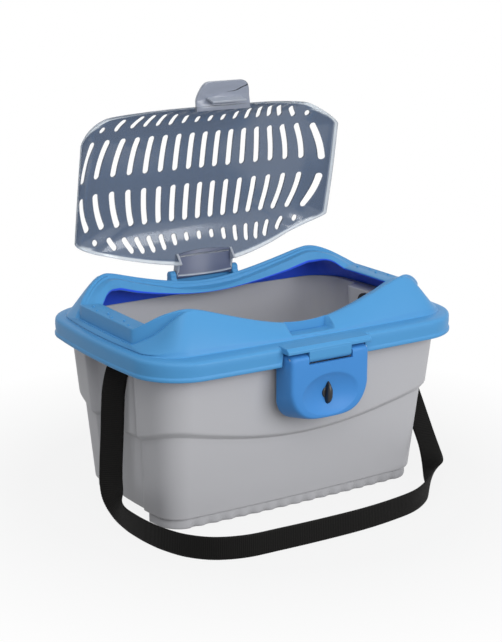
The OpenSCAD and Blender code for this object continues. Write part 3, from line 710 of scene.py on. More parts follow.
GREY = Moulded("grey moulding", (0.47, 0.47, 0.49), roughness=0.46, grain_scale=1400,
               grain_depth=0.16, cloud=0.05, specular=0.4)
# BLUE's deeper blue is painted shade on the cover's walls that face inwards
BLUE = Moulded("blue moulding", (0.074, 0.285, 0.565), roughness=0.42, grain_scale=1100,
               grain_depth=0.05, cloud=0.05, specular=0.22,
               painted_light_colour=(0.03, 0.10, 0.80))
LATCH_BLUE = Moulded("blue latch moulding", (0.054, 0.235, 0.58), roughness=0.42,
                     grain_scale=1100, grain_depth=0.05, cloud=0.05, specular=0.22)
# the pale colours of both smoky mouldings are painted highlights on the lid's rim and thick
# pieces
SMOKE = Moulded("smoky moulding", (0.15, 0.195, 0.28), roughness=0.16, grain_scale=500,
                grain_depth=0.02, cloud=0.08, specular=0.5, see_through=0.7,
                painted_light_colour=(0.76, 0.81, 0.86))
THICK_SMOKE = Moulded("thick smoky moulding", (0.13, 0.155, 0.25), roughness=0.2,
                      grain_scale=500, grain_depth=0.02, cloud=0.06, see_through=0.25,
                      painted_light_colour=(0.74, 0.79, 0.84))
BLACK = Moulded("black moulding", (0.012, 0.012, 0.013), roughness=0.3, cloud=0.1)
STEEL = Moulded("plain steel", (0.55, 0.56, 0.57), roughness=0.3, metallic=1.0,
                grain_scale=2500, grain_depth=0.06)
WEBBING = Webbing()


def dressed(obj: bpy.types.Object, body: Body, slot: Slot, finish: Moulded | Webbing,
            *stands_for: str) -> bpy.types.Object:
    """Gives a piece its finish and body, and hides the frame nodes that it stands for.

    Args:
        obj: the piece.
        body: the body that it moves with.
        slot: the record's material slot; not used.
        finish: its finish.
        stands_for: frame nodes that it replaces.

    Returns:
        The piece.
    """
    obj.data.materials.clear()
    obj.data.materials.append(finish.material())
    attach(obj, body.value)
    if stands_for:
        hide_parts(*stands_for)
    LOG.info("%s: %d faces on %s", obj.name, len(obj.data.polygons), body.value)
    return obj


# ---------------------------------------------------------------- tub
DENSE = Stations(
    corner=np.linspace(0, 90, 15),
    shared=np.array([0, 6, 12, 17, 20, 21.5, 22.2, 23, 25, 26.2, 27.4, 28.4, 30, 31.5, 36,
                     43, 49, 51.2, 52.6, 55, 62, 70, 80, 90, 100], float),
    spread=5,
    end=np.array([-0.9, -0.8, -0.74, -0.7, -0.67, -0.64, -0.61, -0.58, -0.54, -0.47, -0.36,
                  -0.22, -0.08, 0.08, 0.22, 0.36, 0.47, 0.54, 0.58, 0.61, 0.64, 0.67, 0.7,
                  0.74, 0.8, 0.9]),
)


@dataclass
class Tub:
    """The open tub: stepped walls, end recesses, a rim flange, foot rails and keepers."""

    half_l: float = 169.0
    half_w: float = 112.0
    corner: float = 26.0
    base_half_l: float = 157.5
    base_half_w: float = 90.5
    base_corner: float = 21.0
    end_bow: float = 9.0
    side_bow: float = 4.0
    rim_z: float = 192.5
    rim_t: float = 4.0
    rim_w: float = 10.0
    foot_h: float = 11.0
    wall_t: float = 2.5
    step_out: float = 5.0
    step_z: float = 88.0
    mid_z: float = 150.0
    step_rise: float = 24.0
    recess_top: float = 16.0
    recess_base: float = 3.0
    recess_from: float = 0.565
    recess_to: float = 0.65
    rail_w: float = 13.0
    rail_in: float = 2.4
    rail_end: float = 50.0
    flute_pitch: float = 17.0
    flute_depth: float = 1.9
    lock_z: float = 140.5
    notch_half: float = 52.0
    notch_y: float = 121.4
    keeper_x: tuple = (9.0, 22.0)
    keeper_wall: float = 115.2
    keeper_front: float = 127.6
    keeper_t: float = 2.0
    stations: Stations = field(default_factory=lambda: DENSE)

    def wall(self, out: float, recess: float, top: bool) -> Array:
        """Plan loop of the wall at the rim or at the base, pushed outwards by out.

        Args:
            out: how far the loop is pushed outwards.
            recess: share of the end recess, 0 for none.
            top: True for the rim, False for the base.

        Returns:
            The loop's x, y points.
        """
        st = self.stations
        if top:
            a, b, r, depth = self.half_l, self.half_w, self.corner, self.recess_top
        else:
            a, b, r = self.base_half_l, self.base_half_w, self.base_corner
            depth = self.recess_base
        loop = plan(st, a + out, b + out, r + out, r + out, 1.0, self.end_bow,
                    self.side_bow)
        share = np.abs(st.end_share())
        inward = recess * depth * (
            1 - smooth((share - self.recess_from) / (self.recess_to - self.recess_from)))
        loop[:, 0] -= np.sign(loop[:, 0]) * inward
        return loop

    def row(self, z: float, out: float, recess: float = 1.0,
            on_step: bool = False) -> Array:
        """One row of the wall: straight from base to rim, at height z.

        Args:
            z: the height, from the floor or from the step line.
            out: how far the row is pushed outwards.
            recess: share of the end recess, 0 for none.
            on_step: whether z counts from the step line, which climbs towards the
                corners by step_rise (x/a)^2 (y/b)^2.

        Returns:
            The row's points.
        """
        low, high = self.wall(out, recess, False), self.wall(out, recess, True)
        climb = (low[:, 0] / self.base_half_l) ** 2 * (low[:, 1] / self.base_half_w) ** 2
        line = self.step_z + self.step_rise * np.minimum(climb, 1)
        h = line + z if on_step else np.full(len(low), float(z))
        t = (h - self.foot_h) / (self.rim_z - self.rim_t - self.foot_h)
        return at_z(lerp(low, high, t[:, None]), h)

    def shell(self) -> bpy.types.Object:
        """The moulding itself: outside, rim flange and inside as one closed skin.

        Behind each latch the rim flange is cut back to notch_y.

        Returns:
            The shell.
        """
        foot, rim, t, out = self.foot_h, self.rim_z, self.wall_t, self.step_out
        rows = [
            (self.row(foot, -14), 0),
            (self.row(foot, 0), 3.2),
            (self.row(foot + 30, 0), 0),
            (self.row(-9, 0, on_step=True), 0),
            (self.row(-1.7, 0, on_step=True), 1.3),
            (self.row(2.2, out, on_step=True), 2.4),
            (self.row(9, out, on_step=True), 0),
            (self.row(self.mid_z, out), 0),
            (self.row(rim - self.rim_t, out), 1.5),
            (self.row(rim - self.rim_t, out + self.rim_w, 0), 0.8),
            (self.row(rim, out + self.rim_w, 0), 1.2),
            (self.row(rim, out - t), 1.2),
            (self.row(self.mid_z, out - t), 0),
            (self.row(5, out - t, on_step=True), 2.0),
            (self.row(-4.5, -t, on_step=True), 2.0),
            (self.row(foot + 30, -t), 0),
            (self.row(foot + t, -t), 5.0),
            (self.row(foot + t, -t - 20), 0),
        ]
        grid = filleted(rows)
        x, y = grid[..., 0], grid[..., 1]
        keep = lerp(FAR, self.notch_y, smooth((self.notch_half + 0.4 - np.abs(x)) / 0.8))
        grid[..., 1] = np.sign(y) * np.minimum(np.abs(y), keep)
        return shell("tub_shell", grid)

    def rail(self, side: int) -> tuple[Array, list]:
        """One foot rail: a bar swept round a long side, fluted along its outer face.

        Args:
            side: 1 for the rear rail, -1 for the front one.

        Returns:
            Points and faces.
        """
        a = self.base_half_l - self.rail_in
        b = self.base_half_w - self.rail_in
        r = self.base_corner
        corner = (a - r, b - r) + r * arc(0, 90, 15)
        straight = np.linspace(a - r, r - a, 260)[1:-1]
        far = corner[::-1] * (-1, 1)
        start = np.stack([np.full(6, a), np.linspace(self.rail_end, b - r, 7)[:-1]], -1)
        line = np.concatenate([start, corner,
                               np.stack([straight, np.full(len(straight), b)], -1),
                               far, start[::-1] * (-1, 1)])
        x, y = line[:, 0], line[:, 1]
        ends = np.abs(x) >= a - r - 1e-3
        x = x + np.where(ends, np.sign(x) * self.end_bow * (1 - (y / b) ** 2), 0)
        y = y + np.where(line[:, 1] >= b - r - 1e-3, self.side_bow * (1 - (x / a) ** 2), 0)
        outer = np.stack([x, y], -1)
        along = unit(np.gradient(outer, axis=0))
        inward = np.stack([-along[:, 1], along[:, 0]], -1)
        wave = np.sin(np.pi * x / self.flute_pitch) ** 2
        flute = self.flute_depth * np.where(ends, 0.0, wave)
        profile = [(0.0, self.foot_h + 1.5, 0.0), (0.0, 5.5, 0.3), (0.0, 2.2, 1.0),
                   (0.5, 0.7, 1.0), (2.0, 0.0, 1.0), (self.rail_w - 1.5, 0.0, 0.0),
                   (self.rail_w, 1.2, 0.0), (self.rail_w, self.foot_h + 1.5, 0.0)]
        rows = []
        for inset, z, carved in profile:
            p = outer + inward * (inset + carved * flute)[:, None]
            rows.append(at_z(p, z + 0.9 * carved * flute / self.flute_depth
                             * (z > 0.5)))
        grid = np.array(rows).transpose(1, 0, 2)
        grid[..., 1] *= side
        points, faces = bar_data(grid)
        return points, faces if side > 0 else [face[::-1] for face in faces]

    def keepers(self) -> bpy.types.Object:
        """The two roofed hooks that the turned lock cams lie under.

        Returns:
            Both hooks as one piece.
        """
        (x0, x1), t, top = self.keeper_x, self.keeper_t, self.lock_z + 4.5
        wall, front = self.keeper_wall, self.keeper_front
        hook = [box_data((x0, wall - 1.6, top), (x1, front + t, top + 3)),
                box_data((x0, front, top - 8), (x1, front + t, top + 2)),
                box_data((x1 - t, wall - 2.6, top - 8), (x1, front + t, top + 2))]
        points, faces = joined(hook)
        far = points * (-1, -1, 1)
        return bevelled(mesh_object("lock_keepers", *joined([(points, faces),
                                                             (far, faces)])), 0.4, 2)

    def build(self) -> None:
        """Makes and dresses the tub's pieces."""
        dressed(self.shell(), Body.TUB, Slot.TUB, GREY, "tub")
        rails = mesh_object("foot_rails", *joined([self.rail(1), self.rail(-1)]), 50)
        dressed(rails, Body.TUB, Slot.TUB, GREY)
        dressed(self.keepers(), Body.TUB, Slot.TUB, GREY)


# ---------------------------------------------------------------- cover
@dataclass
class Cover:
    """The lift-off cover: lip, shelf, wall, the humped ring and what is on them."""

    lip_a: float = 189.8
    lip_b: float = 132.8
    lip_r: float = 48.0
    lip_bow: float = 10.0
    side_bow: float = 4.0
    lip_low: float = 173.5
    ceiling: float = 192.8
    shelf_z: float = 195.3
    shelf_end: float = 9.5
    shelf_side: float = 17.0
    rim_z: float = 192.5
    wall_t: float = 2.8
    ring_a: float = 181.5
    ring_y: float = 104.0
    ring_bow: float = 10.0
    hump_x: float = 131.0
    ring_end_w: float = 116.0
    hump_h: float = 44.5
    dip_h: float = 14.5
    dip_c: float = 60.0
    end_h: float = 22.5
    flank_h: float = 15.0
    flank_run: float = 34.0
    band_w: float = 18.0
    corner_power: float = 1.6
    chamfer_x: float = 0.68
    chamfer_y: float = 0.49
    seat_drop: float = 4.4
    shoulder: float = 3.6
    rear_rise: float = 3.0
    rise_run: float = 115.0
    fall_run: float = 128.0
    end_widen: float = 5.0
    widen_from: float = 112.0
    widen_run: float = 40.0
    notch_half: float = 51.8
    notch_z: float = 188.0
    pocket_half: float = 27.0
    pocket_z: float = 198.5
    pocket_y: float = 99.5
    pocket_behind: float = -80.0
    slit_half: float = 22.0
    hinge_y: float = 107.5
    hinge_z: float = 218.8
    plate_half: float = 36.5
    lug_r: float = 5.0
    lug_half: float = 4.0
    lug_gap: float = 0.4
    bridge_half: float = 37.5
    bridge_y: tuple = (109.6, 111.5)
    bridge_z: tuple = (199.0, 213.4)
    latch_face: float = 148.3
    block_half: float = 52.0
    tongue_half: float = 26.3
    tongue_r: float = 5.5
    pin_y: float = 142.2
    pin_z: float = 181.5
    dots_x: float = 178.5
    dots_half_y: float = 43.0
    dots_step: float = 5.0
    stations: Stations = field(default_factory=lambda: DENSE)

    def ring_height(self, x: Array) -> Array:
        """Height of the ring's outer edge: a rounded dip that meets the falling ends.

        Args:
            x: places along the length.

        Returns:
            A height for each.
        """
        u = np.abs(x)
        root = math.hypot(self.hump_x, self.dip_c) - self.dip_c
        rise = (self.hump_h + 0.8 - self.dip_h) / root
        up = self.dip_h + rise * (np.sqrt(u * u + self.dip_c ** 2) - self.dip_c)
        t = np.clip((self.ring_a - u) / (self.ring_a - self.hump_x), 0, 1)
        down = self.end_h + (self.hump_h + 0.5 - self.end_h) * np.sin(t * math.pi / 2)
        return self.rim_z + (up + down) / 2 - np.sqrt(((up - down) / 2) ** 2 + 4)

    def slope(self, x: Array) -> Array:
        """1 where the band slopes inwards along the sides, 0 on the flat ends."""
        start, stop = self.hump_x + 4, self.ring_a - 9
        return 1 - smooth((np.abs(x) - start) / (stop - start))

    def ring_loop(self, inset: float) -> Array:
        """Plan loop of the ring, inset from its outer edge.

        Args:
            inset: distance from the ring's outer edge.

        Returns:
            The loop's x, y points.
        """
        bow = self.ring_bow / (self.hump_x / self.ring_a) ** 2
        b = self.ring_y - bow
        return plan(self.stations, self.ring_a - inset, b - inset,
                    self.ring_a - self.hump_x - self.chamfer_x * inset,
                    b - self.ring_end_w / 2 - self.chamfer_y * inset,
                    self.corner_power, 1.0, bow)

    def rear_lift(self, x: Array, y: Array) -> Array:
        """How far the rear of the ring stands above its front: most in the middle."""
        return self.rear_rise * (1 - smooth(np.abs(x) / self.rise_run)) * (y > 0)

    def ring_row(self, inset: float, drop: float, always: float = 0.0) -> Array:
        """One row of the band.

        The outermost rows rise at the rear, and past inset 13 the band widens towards
        the ends by up to end_widen.

        Args:
            inset: distance from the ring's outer edge.
            drop: how far it lies below that edge along the sides, though not on the
                ends; past seat_drop less of it shows in the middle.
            always: how far it lies below it everywhere; past 1, less in the middle.

        Returns:
            The row's points.
        """
        x = self.ring_loop(0)[:, 0]
        deep = self.seat_drop
        fall = lerp(0.2, 1.0, smooth(np.abs(x) / self.fall_run))
        shown = min(drop, deep) + max(drop - deep, 0.0) * fall
        if always > 1:
            always = always * lerp(0.4, 1.0, fall)
        z = self.ring_height(x) - shown * self.slope(x) - always
        loop = self.ring_loop(inset)
        more = self.end_widen * np.clip((inset - 13) / 5, 0, 1)
        far_out = smooth((np.abs(loop[:, 0]) - self.widen_from) / self.widen_run)
        loop[:, 0] -= np.sign(loop[:, 0]) * more * far_out
        if inset < 6:
            z = z + self.rear_lift(x, loop[:, 1])
        return at_z(loop, z)

    def lip_loop(self, in_a: float, in_b: float, r: float) -> Array:
        """Plan loop of the lip."""
        return plan(self.stations, self.lip_a - in_a, self.lip_b - in_b, r, r, 1.0,
                    self.lip_bow, self.side_bow)

    def wall_foot(self, t: float) -> Array:
        """Plan loop of the wall's foot, t inside its outer face."""
        return self.lip_loop(self.shelf_end + t, self.shelf_side + t, self.lip_r - 14)

    def wall_row(self, t: float, f: float) -> Array:
        """Row of the wall.

        The wall bulges out by a share 0.29 f (1 - f) of its lean.  Round the ends it stops
        flank_h below the ring, where its shoulder stands proud of the upright grips.

        Args:
            t: distance inside the wall's outer face.
            f: share of the wall's height.

        Returns:
            The row's points.
        """
        low, high = self.wall_foot(t), self.ring_loop(t)
        x = self.ring_loop(0)[:, 0]
        flank = self.flank_h * smooth((np.abs(x) - self.hump_x - 4) / self.flank_run)
        top = self.ring_height(x) - flank - t
        top = top + self.rear_lift(x, low[:, 1])
        if t == 0:
            round_end = smooth((np.abs(x) - self.hump_x - 1) / 12)[:, None]
            out = self.shoulder if f < 0.99 else -0.5
            high = lerp(high, self.ring_loop(-out), round_end)
            top = top - (1.2 if f >= 0.99 else 0.0) * round_end[:, 0]
        g = 0.9 * f + 0.1 * f * f - 0.29 * f * (1 - f) - 0.01 * f
        return at_z(lerp(low, high, g), lerp(self.shelf_z - t, top, f))

    def shell(self) -> bpy.types.Object:
        """The moulding: lip, shelf, wall, band and inside as one closed ring of rows.

        Returns:
            The shell, with its inward faces marked for painted shade, a deeper blue.
        """
        low, t = self.lip_low, self.wall_t
        lip = self.lip_loop
        outer = [
            (at_z(lip(-0.3, -0.3, self.lip_r), low), 1.5),
            (at_z(lip(-0.3, -0.3, self.lip_r), low + 3.4), 0.9),
            (at_z(lip(0.6, 0.6, self.lip_r), low + 4.8), 0.9),
            (at_z(lip(0.2, 0.2, self.lip_r), low + 12), 0),
            (at_z(lip(0.4, 0.4, self.lip_r), self.shelf_z - 1.6), 7.0),
            (at_z(lip(self.shelf_end - 1.5, self.shelf_side - 2.5, self.lip_r - 12),
                  self.shelf_z - 0.5), 1.5),
            (at_z(self.wall_foot(0), self.shelf_z - 0.9), 1.4),
            (at_z(self.wall_foot(1.2), self.shelf_z + 0.6), 0),
        ]
        shares = (0.1, 0.19, 0.27, 0.4, 0.52, 0.58, 0.6, 0.64, 0.66, 0.8, 0.9, 0.96, 1.0)
        radii = (0, 0, 1.2, 0, 0, 0.3, 0.3, 0.3, 0.6, 0, 0, 1.3, 0.9)
        wall = [(self.pocketed(self.wall_row(0, f), f), r)
                for f, r in zip(shares, radii)]
        band = [(0, 0.2, 0, 1.3), (1.6, 0, -0.5, 1.0), (3.0, 0, -0.3, 0.8),
                (4.1, 2.3, 0.1, 0.7), (5.2, 1.9, 0, 0.7), (6.4, 1.9, -0.1, 0.6),
                (7.4, self.seat_drop - 0.5, 0.3, 0.8), (13.0, self.seat_drop, 0.1, 1.4),
                (14.4, self.seat_drop + 0.3, -0.1, 1.0), (16.8, 10.8, 0.2, 1.8),
                (self.band_w, 12.2, 0.8, 1.0), (self.band_w, 13, 3.2, 0.8),
                (self.band_w - 2.4, 13, 3.6, 0.5)]
        ring = [(self.trimmed(self.ring_row(i, d, always), i), r)
                for i, d, always, r in band]
        inner = [(self.backed(self.wall_row(t, f)), 0) for f in (1, 0.65, 0.3)]
        inner += [
            (at_z(self.wall_foot(t), self.ceiling), 1.0),
            (at_z(lip(t + 3.6, t + 3.6, self.lip_r - t - 3.6), self.ceiling), 0),
            (at_z(lip(t, t, self.lip_r - t), self.ceiling - 5), 0),
            (at_z(lip(t, t, self.lip_r - t), low), 0.8),
        ]
        rows = filleted(outer + wall + ring + inner, ring=True)
        obj = shell("cover_shell", self.notched(rows), ring=True)
        # painted shade: faces that look towards the middle and not upwards get the deeper
        # blue, for the shade inside the ring
        n, out = normals(obj), unit(coordinates(obj) * (1, 1, 0))
        inward = smooth((-np.sum(n * out, 1) - 0.3) / 0.3) * smooth((0.35 - n[:, 2]) / 0.3)
        point_values(obj, "painted_light", inward)
        return obj

    def notched(self, rows: Array) -> Array:
        """Lifts the lip's lower rows over each latch, which opens a notch for it.

        Args:
            rows: all the shell's rows.

        Returns:
            The same rows, with the notches.
        """
        x, y, z = rows[..., 0], rows[..., 1], rows[..., 2]
        over = smooth((self.notch_half + 0.7 - np.abs(x)) / 1.2)
        over = over * (np.abs(y) > self.lip_b - 8)
        floor = self.notch_z + 0.02 * (z - self.lip_low)
        rows[..., 2] = np.where(z < floor, lerp(z, floor, over), z)
        return rows

    def in_pocket(self, row: Array, past: float = 0.6, fade: float = 1.2) -> Array:
        """1 for a row's points in the pocket, faded out past its sides, and 0 elsewhere."""
        inside = smooth((self.pocket_half + past - np.abs(row[:, 0])) / fade)
        return inside * (row[:, 1] < self.pocket_behind)

    def pocketed(self, row: Array, f: float) -> Array:
        """Presses a row of the front wall into the finger pocket and its slit.

        The profile leaves the wall at share 0.27, runs level to the slit at 0.58, drops
        into it up to 0.64 and climbs the pocket's back to the ring's edge.

        Args:
            row: the row's points.
            f: its share of the wall's height.

        Returns:
            The row as pressed in.
        """
        x = row[:, 0]
        inside = self.in_pocket(row)
        slit = smooth((self.slit_half + 0.4 - np.abs(x)) / 0.8) * inside
        if f < 0.27:
            return row
        start = self.wall_row(0, 0.27)
        run = np.clip((f - 0.27) / (0.58 - 0.27), 0, 1)
        y = lerp(start[:, 1], -self.pocket_y - 3.4, run)
        z = np.where(run < 1e-6, row[:, 2], self.pocket_z)
        if f >= 0.6:
            y = np.full(len(x), -self.pocket_y - (3.2 if f < 0.62 else 0.0))
            z = self.pocket_z - 2.6 * slit * (f < 0.65)
        if f > 0.65:
            top = self.ring_row(0, 0)[:, 2] - 0.2
            z = lerp(self.pocket_z, top, np.clip((f - 0.66) / 0.34, 0, 1))
        out = row.copy()
        out[:, 1] = lerp(row[:, 1], y, inside)
        out[:, 2] = lerp(row[:, 2], z, inside)
        return out

    def trimmed(self, row: Array, inset: float) -> Array:
        """Keeps the band's outer rows behind the pocket's back face.

        Args:
            row: the row's points.
            inset: the row's distance from the ring's outer edge.

        Returns:
            The row, trimmed.
        """
        inside = self.in_pocket(row)
        edge = -self.pocket_y + 0.05 * inset
        row[:, 1] = np.where(row[:, 1] < edge, lerp(row[:, 1], edge, inside), row[:, 1])
        return row

    def backed(self, row: Array) -> Array:
        """Moves the inner wall in behind the pocket, which makes the pad that holds it.

        Args:
            row: the row's points.

        Returns:
            The row, moved.
        """
        inside = self.in_pocket(row, 4.0, 2.5)
        row[:, 1] = np.maximum(row[:, 1], lerp(-FAR, 4.5 - self.pocket_y, inside))
        return row

    def lugs(self) -> bpy.types.Object:
        """The two ears that hold the lid's pin.

        Returns:
            Both ears as one piece.
        """
        parts = []
        height = float(self.ring_height(np.array([self.plate_half]))[0])
        head = (self.hinge_y, self.hinge_z) + self.lug_r * arc(-20, 195, 16)
        for side in (-1, 1):
            foot = np.array([[self.ring_y - 7, height - 3.5], [self.ring_y - 1, height - 3],
                             [self.ring_y + 10, height - 10.5]])
            outline = np.concatenate([head, foot])
            middle = self.plate_half + self.lug_gap + self.lug_half
            parts.append(prism_data(outline, self.lug_half, side * middle))
        obj = mesh_object("lid_lugs", *joined(parts), 30)
        return bevelled(obj, 1.6, 4, 50)

    def bridge(self) -> bpy.types.Object:
        """The low wall between the ears, behind the lid's barrel.

        Returns:
            The wall.
        """
        (y0, y1), (z0, z1) = self.bridge_y, self.bridge_z
        points, faces = box_data((-self.bridge_half, y0, z0), (self.bridge_half, y1, z1))
        return bevelled(mesh_object("lid_bridge", points, faces, 30), 0.6)

    def latch_blocks(self, side: int) -> tuple[bpy.types.Object, bpy.types.Object]:
        """Block over a latch and the hanging tongue that carries the latch's pin.

        Args:
            side: 1 for the rear, -1 for the front.

        Returns:
            The block and the tongue.
        """
        back, face = self.lip_b + self.side_bow, self.latch_face
        block = np.array([
            [back - 3, self.notch_z], [face - 0.8, self.notch_z], [face - 0.8, 191.5],
            [face - 4.5, 194.6], [back - 9, 195.0], [back - 9, 192.0], [back - 3, 190.0]])
        pin_y, pin_z, r = self.pin_y, self.pin_z, self.tongue_r
        tongue = np.concatenate([
            (pin_y, pin_z) + r * arc(180, 360, 15),
            [[face - 0.6, self.notch_z + 1.5], [pin_y - r, self.notch_z + 1.5]]])
        name = "front" if side < 0 else "rear"
        made = []
        for label, outline, half, width in (("block", block, self.block_half, 1.6),
                                            ("tongue", tongue, self.tongue_half, 0.7)):
            points, faces = prism_data(outline, half)
            points = points * (side, side, 1)
            obj = mesh_object(f"{name}_latch_{label}", points, faces, 30)
            made.append(bevelled(obj, width, 4, 40))
        return made[0], made[1]

    def grip_dots(self) -> bpy.types.Object:
        """Six small domes in a zigzag on each end's grip pad.

        Returns:
            All the domes as one piece.
        """
        parts = []
        ring = arc(0, 315, 8)
        for side in (-1, 1):
            for k in range(6):
                y = lerp(-self.dots_half_y, self.dots_half_y, k / 5)
                x = side * (self.dots_x - self.dots_step * (k % 2) - abs(y) * 0.02)
                z = self.rim_z + self.end_h + 0.3
                rows = [at_z((x, y) + r * ring, z + h)
                        for r, h in ((1.5, -1.0), (1.4, 0.3), (0.8, 0.9))]
                points = np.concatenate([*rows, [[x, y, z + 1.1], [x, y, z - 1.0]]])
                faces = grid_faces(3, 8)
                faces += [[16 + i, 16 + (i + 1) % 8, 24] for i in range(8)]
                faces += [[(i + 1) % 8, i, 25] for i in range(8)]
                parts.append((points, faces))
        return mesh_object("grip_dots", *joined(parts))

    def build(self) -> None:
        """Makes and dresses the cover's pieces."""
        dressed(self.shell(), Body.COVER, Slot.COVER, BLUE, "cover")
        for piece in (self.lugs(), self.bridge(), *self.latch_blocks(-1),
                      *self.latch_blocks(1), self.grip_dots()):
            dressed(piece, Body.COVER, Slot.COVER, BLUE)


# ---------------------------------------------------------------- lid
@dataclass
class Lid:
    """The vented, see-through lid, shaped closed and then swung open about its pin."""

    cover: Cover
    inset: float = 13.0
    half_l: float = 165.5
    half_w: float = 69.0
    side_bow: float = 25.0
    corner_x: float = 37.5
    corner_y: float = 13.5
    forward: float = -1.2
    rim_narrow: float = 0.45
    t: float = 2.0
    crown_z: float = 244.0
    open_angle: float = 79.0
    slot_w: float = 7.5
    slot_pitch: float = 16.7
    slot_grow: float = 0.36
    slot_lean: float = 0.095
    bar_h: float = 70.0
    long_from: float = 7.0
    long_to: float = 51.0
    short_w: float = 6.2
    short_from: tuple = (64, 64, 64, 63, 63, 63, 62, 60, 60)
    short_to: tuple = (73, 73, 76, 79, 80, 80, 79, 75, 67.5)
    front_shift: float = 2.5
    tab_half: float = 33.0
    tab_out: float = 29.0
    tab_t: float = 3.6
    tab_z: float = 211.3
    rim_share: float = 0.968
    plate_reach: float = 25.5
    plate_drop: float = 8.2
    barrel_r: float = 4.8
    hook_half: float = 21.5
    hook_y: tuple = (-102.5, -100.2)

    def opened(self, points: Array) -> Array:
        """Points of the closed lid, swung to where it stands open."""
        return turned_x(points, -self.open_angle, self.cover.hinge_y, self.cover.hinge_z)

    def outline(self) -> Array:
        """Plan loop of the lid: bowed sides, shallow chamfers and straight ends.

        Returns:
            The loop's x, y points.
        """
        loop = plan(self.cover.stations, self.half_l, self.half_w, self.corner_x,
                    self.corner_y, 1.3, 1.0, self.side_bow)
        return loop + (0, self.forward)

    def row(self, f: float, up: float) -> Array:
        """Row of the dome.

        The height falls from the crown to the seat by the share to a power, which is 5
        along the sides and 11 towards the ends, where the rim is narrower too.

        Args:
            f: share to which the outline is shrunk.
            up: distance above the dome's lower face.

        Returns:
            The row's points, on the closed lid.
        """
        c = self.cover
        x = c.ring_loop(0)[:, 0]
        end = smooth((np.abs(x) - c.hump_x - 8) / 30)
        loop = self.outline()
        under = np.abs(c.ring_loop(self.inset)[:, 0])
        order = np.argsort(under, kind="stable")
        ledge = c.ring_height(x) - c.seat_drop * c.slope(x)
        seat = np.interp(np.abs(loop[:, 0]), under[order], ledge[order]) + 1.0
        share = 1 - (1 - f) * (1 - self.rim_narrow * end * (f > 0.9))
        g = share ** (5 + 6 * end)
        z = lerp(self.crown_z, seat, g) - (1 - g) * self.t + up
        return at_z(loop * share[:, None], z)

    def dome(self) -> bpy.types.Object:
        """The dome with its rim, before the slots are cut.

        Returns:
            The dome of the closed lid.
        """
        shares = [0.04, 0.12, 0.22, 0.32, 0.42, 0.5, 0.58, 0.66, 0.73, 0.79, 0.84, 0.88,
                  0.915, 0.94, self.rim_share]
        under = [(self.row(f, 0), 0) for f in shares]
        over = [(self.row(f, self.t), 0) for f in shares[::-1]]
        rim = [(self.row(0.972, -0.3), 0.5), (self.row(1.0, 0.7), 0.6),
               (self.row(1.0, self.t + 0.2), 0.7), (self.row(0.974, self.t + 0.4), 0.6)]
        rows = filleted(under + rim + over)
        return shell("lid_dome", rows)

    def slot_x(self, k: int, y: Array) -> Array:
        """Distance from the middle of vent column k at depth y: columns are arcs."""
        x = self.slot_pitch * k + self.slot_grow * k * k
        return x * (1 - self.slot_lean * min(1.0, k / 6) * (y / 50) ** 2)

    def slot_outline(self, k: int, y0: float, y1: float, w: float) -> Array:
        """Outline of a slot along its arc from y0 to y1, with round ends.

        Args:
            k: number of the column, counted from the middle.
            y0: where the slot starts.
            y1: where it ends.
            w: its width.

        Returns:
            The outline's x, y points.
        """
        r = w / 2
        y = np.linspace(y0 + r, y1 - r, 9)
        mid = np.stack([self.slot_x(k, y), y], -1)
        way = unit(np.gradient(mid, axis=0))
        left = np.stack([way[:, 1], -way[:, 0]], -1)
        turn = np.radians(np.linspace(0, 180, 11))[1:-1, None]
        top = mid[-1] + r * (left[-1] * np.cos(turn) + way[-1] * np.sin(turn))
        low = mid[0] + r * (-left[0] * np.cos(turn) - way[0] * np.sin(turn))
        return np.concatenate([mid + r * left, top, mid[::-1] - r * left[::-1], low])

    def cutter(self) -> bpy.types.Object:
        """All the slots as upright bars, and the wedge that frees the hinge plate.

        Returns:
            The bars and the wedge as one mesh.
        """
        parts = []
        c = self.cover
        columns = range(len(self.short_from))
        for k, short, sx, sy in product(columns, (False, True), (-1, 1), (-1, 1)):
            if k == 0 and sx < 0:
                continue
            span = (self.long_from, self.long_to, self.slot_w)
            if short:
                span = (self.short_from[k], self.short_to[k], self.short_w)
            loop = self.slot_outline(k, *span) * (sx, sy)
            loop[:, 1] -= self.front_shift * (sy < 0)
            low = at_z(loop, c.rim_z)
            points, faces = bar_data(np.array([low, low + (0, 0, self.bar_h)]))
            if sx * sy < 0:
                faces = [f[::-1] for f in faces]
            parts.append((points, faces))
        near = c.hinge_y - self.plate_reach
        wedge = np.array([[near, c.hinge_z + 0.8], [near, c.rim_z], [c.hinge_y, c.rim_z],
                          [c.hinge_y, c.hinge_z - 8.6]])
        parts.append(prism_data(wedge, c.plate_half - 1.2))
        return mesh_object("slots", *joined(parts))

    def vented(self) -> bpy.types.Object:
        """The dome with its slots, swung open, with its rim marked pale as a painted
        highlight.

        Returns:
            The dome as it stands open.
        """
        obj = sharpened(cut_by(self.dome(), self.cutter()), 40)
        closed = coordinates(obj)
        loop = self.outline()
        angle = np.arctan2(closed[:, 1], closed[:, 0])
        order = np.argsort(np.arctan2(loop[:, 1], loop[:, 0]))
        reach = np.interp(angle, np.arctan2(loop[:, 1], loop[:, 0])[order],
                          np.hypot(loop[:, 0], loop[:, 1])[order], period=2 * math.pi)
        share = np.hypot(closed[:, 0], closed[:, 1]) / reach
        end = smooth((np.abs(closed[:, 0]) - 135) / 25)
        edge = 1 - (1 - self.rim_share) * (1 - self.rim_narrow * end)
        # painted highlight: the rim is painted pale, where light catches its thick edge
        point_values(obj, "painted_light", smooth((share - edge - 0.0005) / 0.002))
        put_points(obj, self.opened(closed))
        return obj

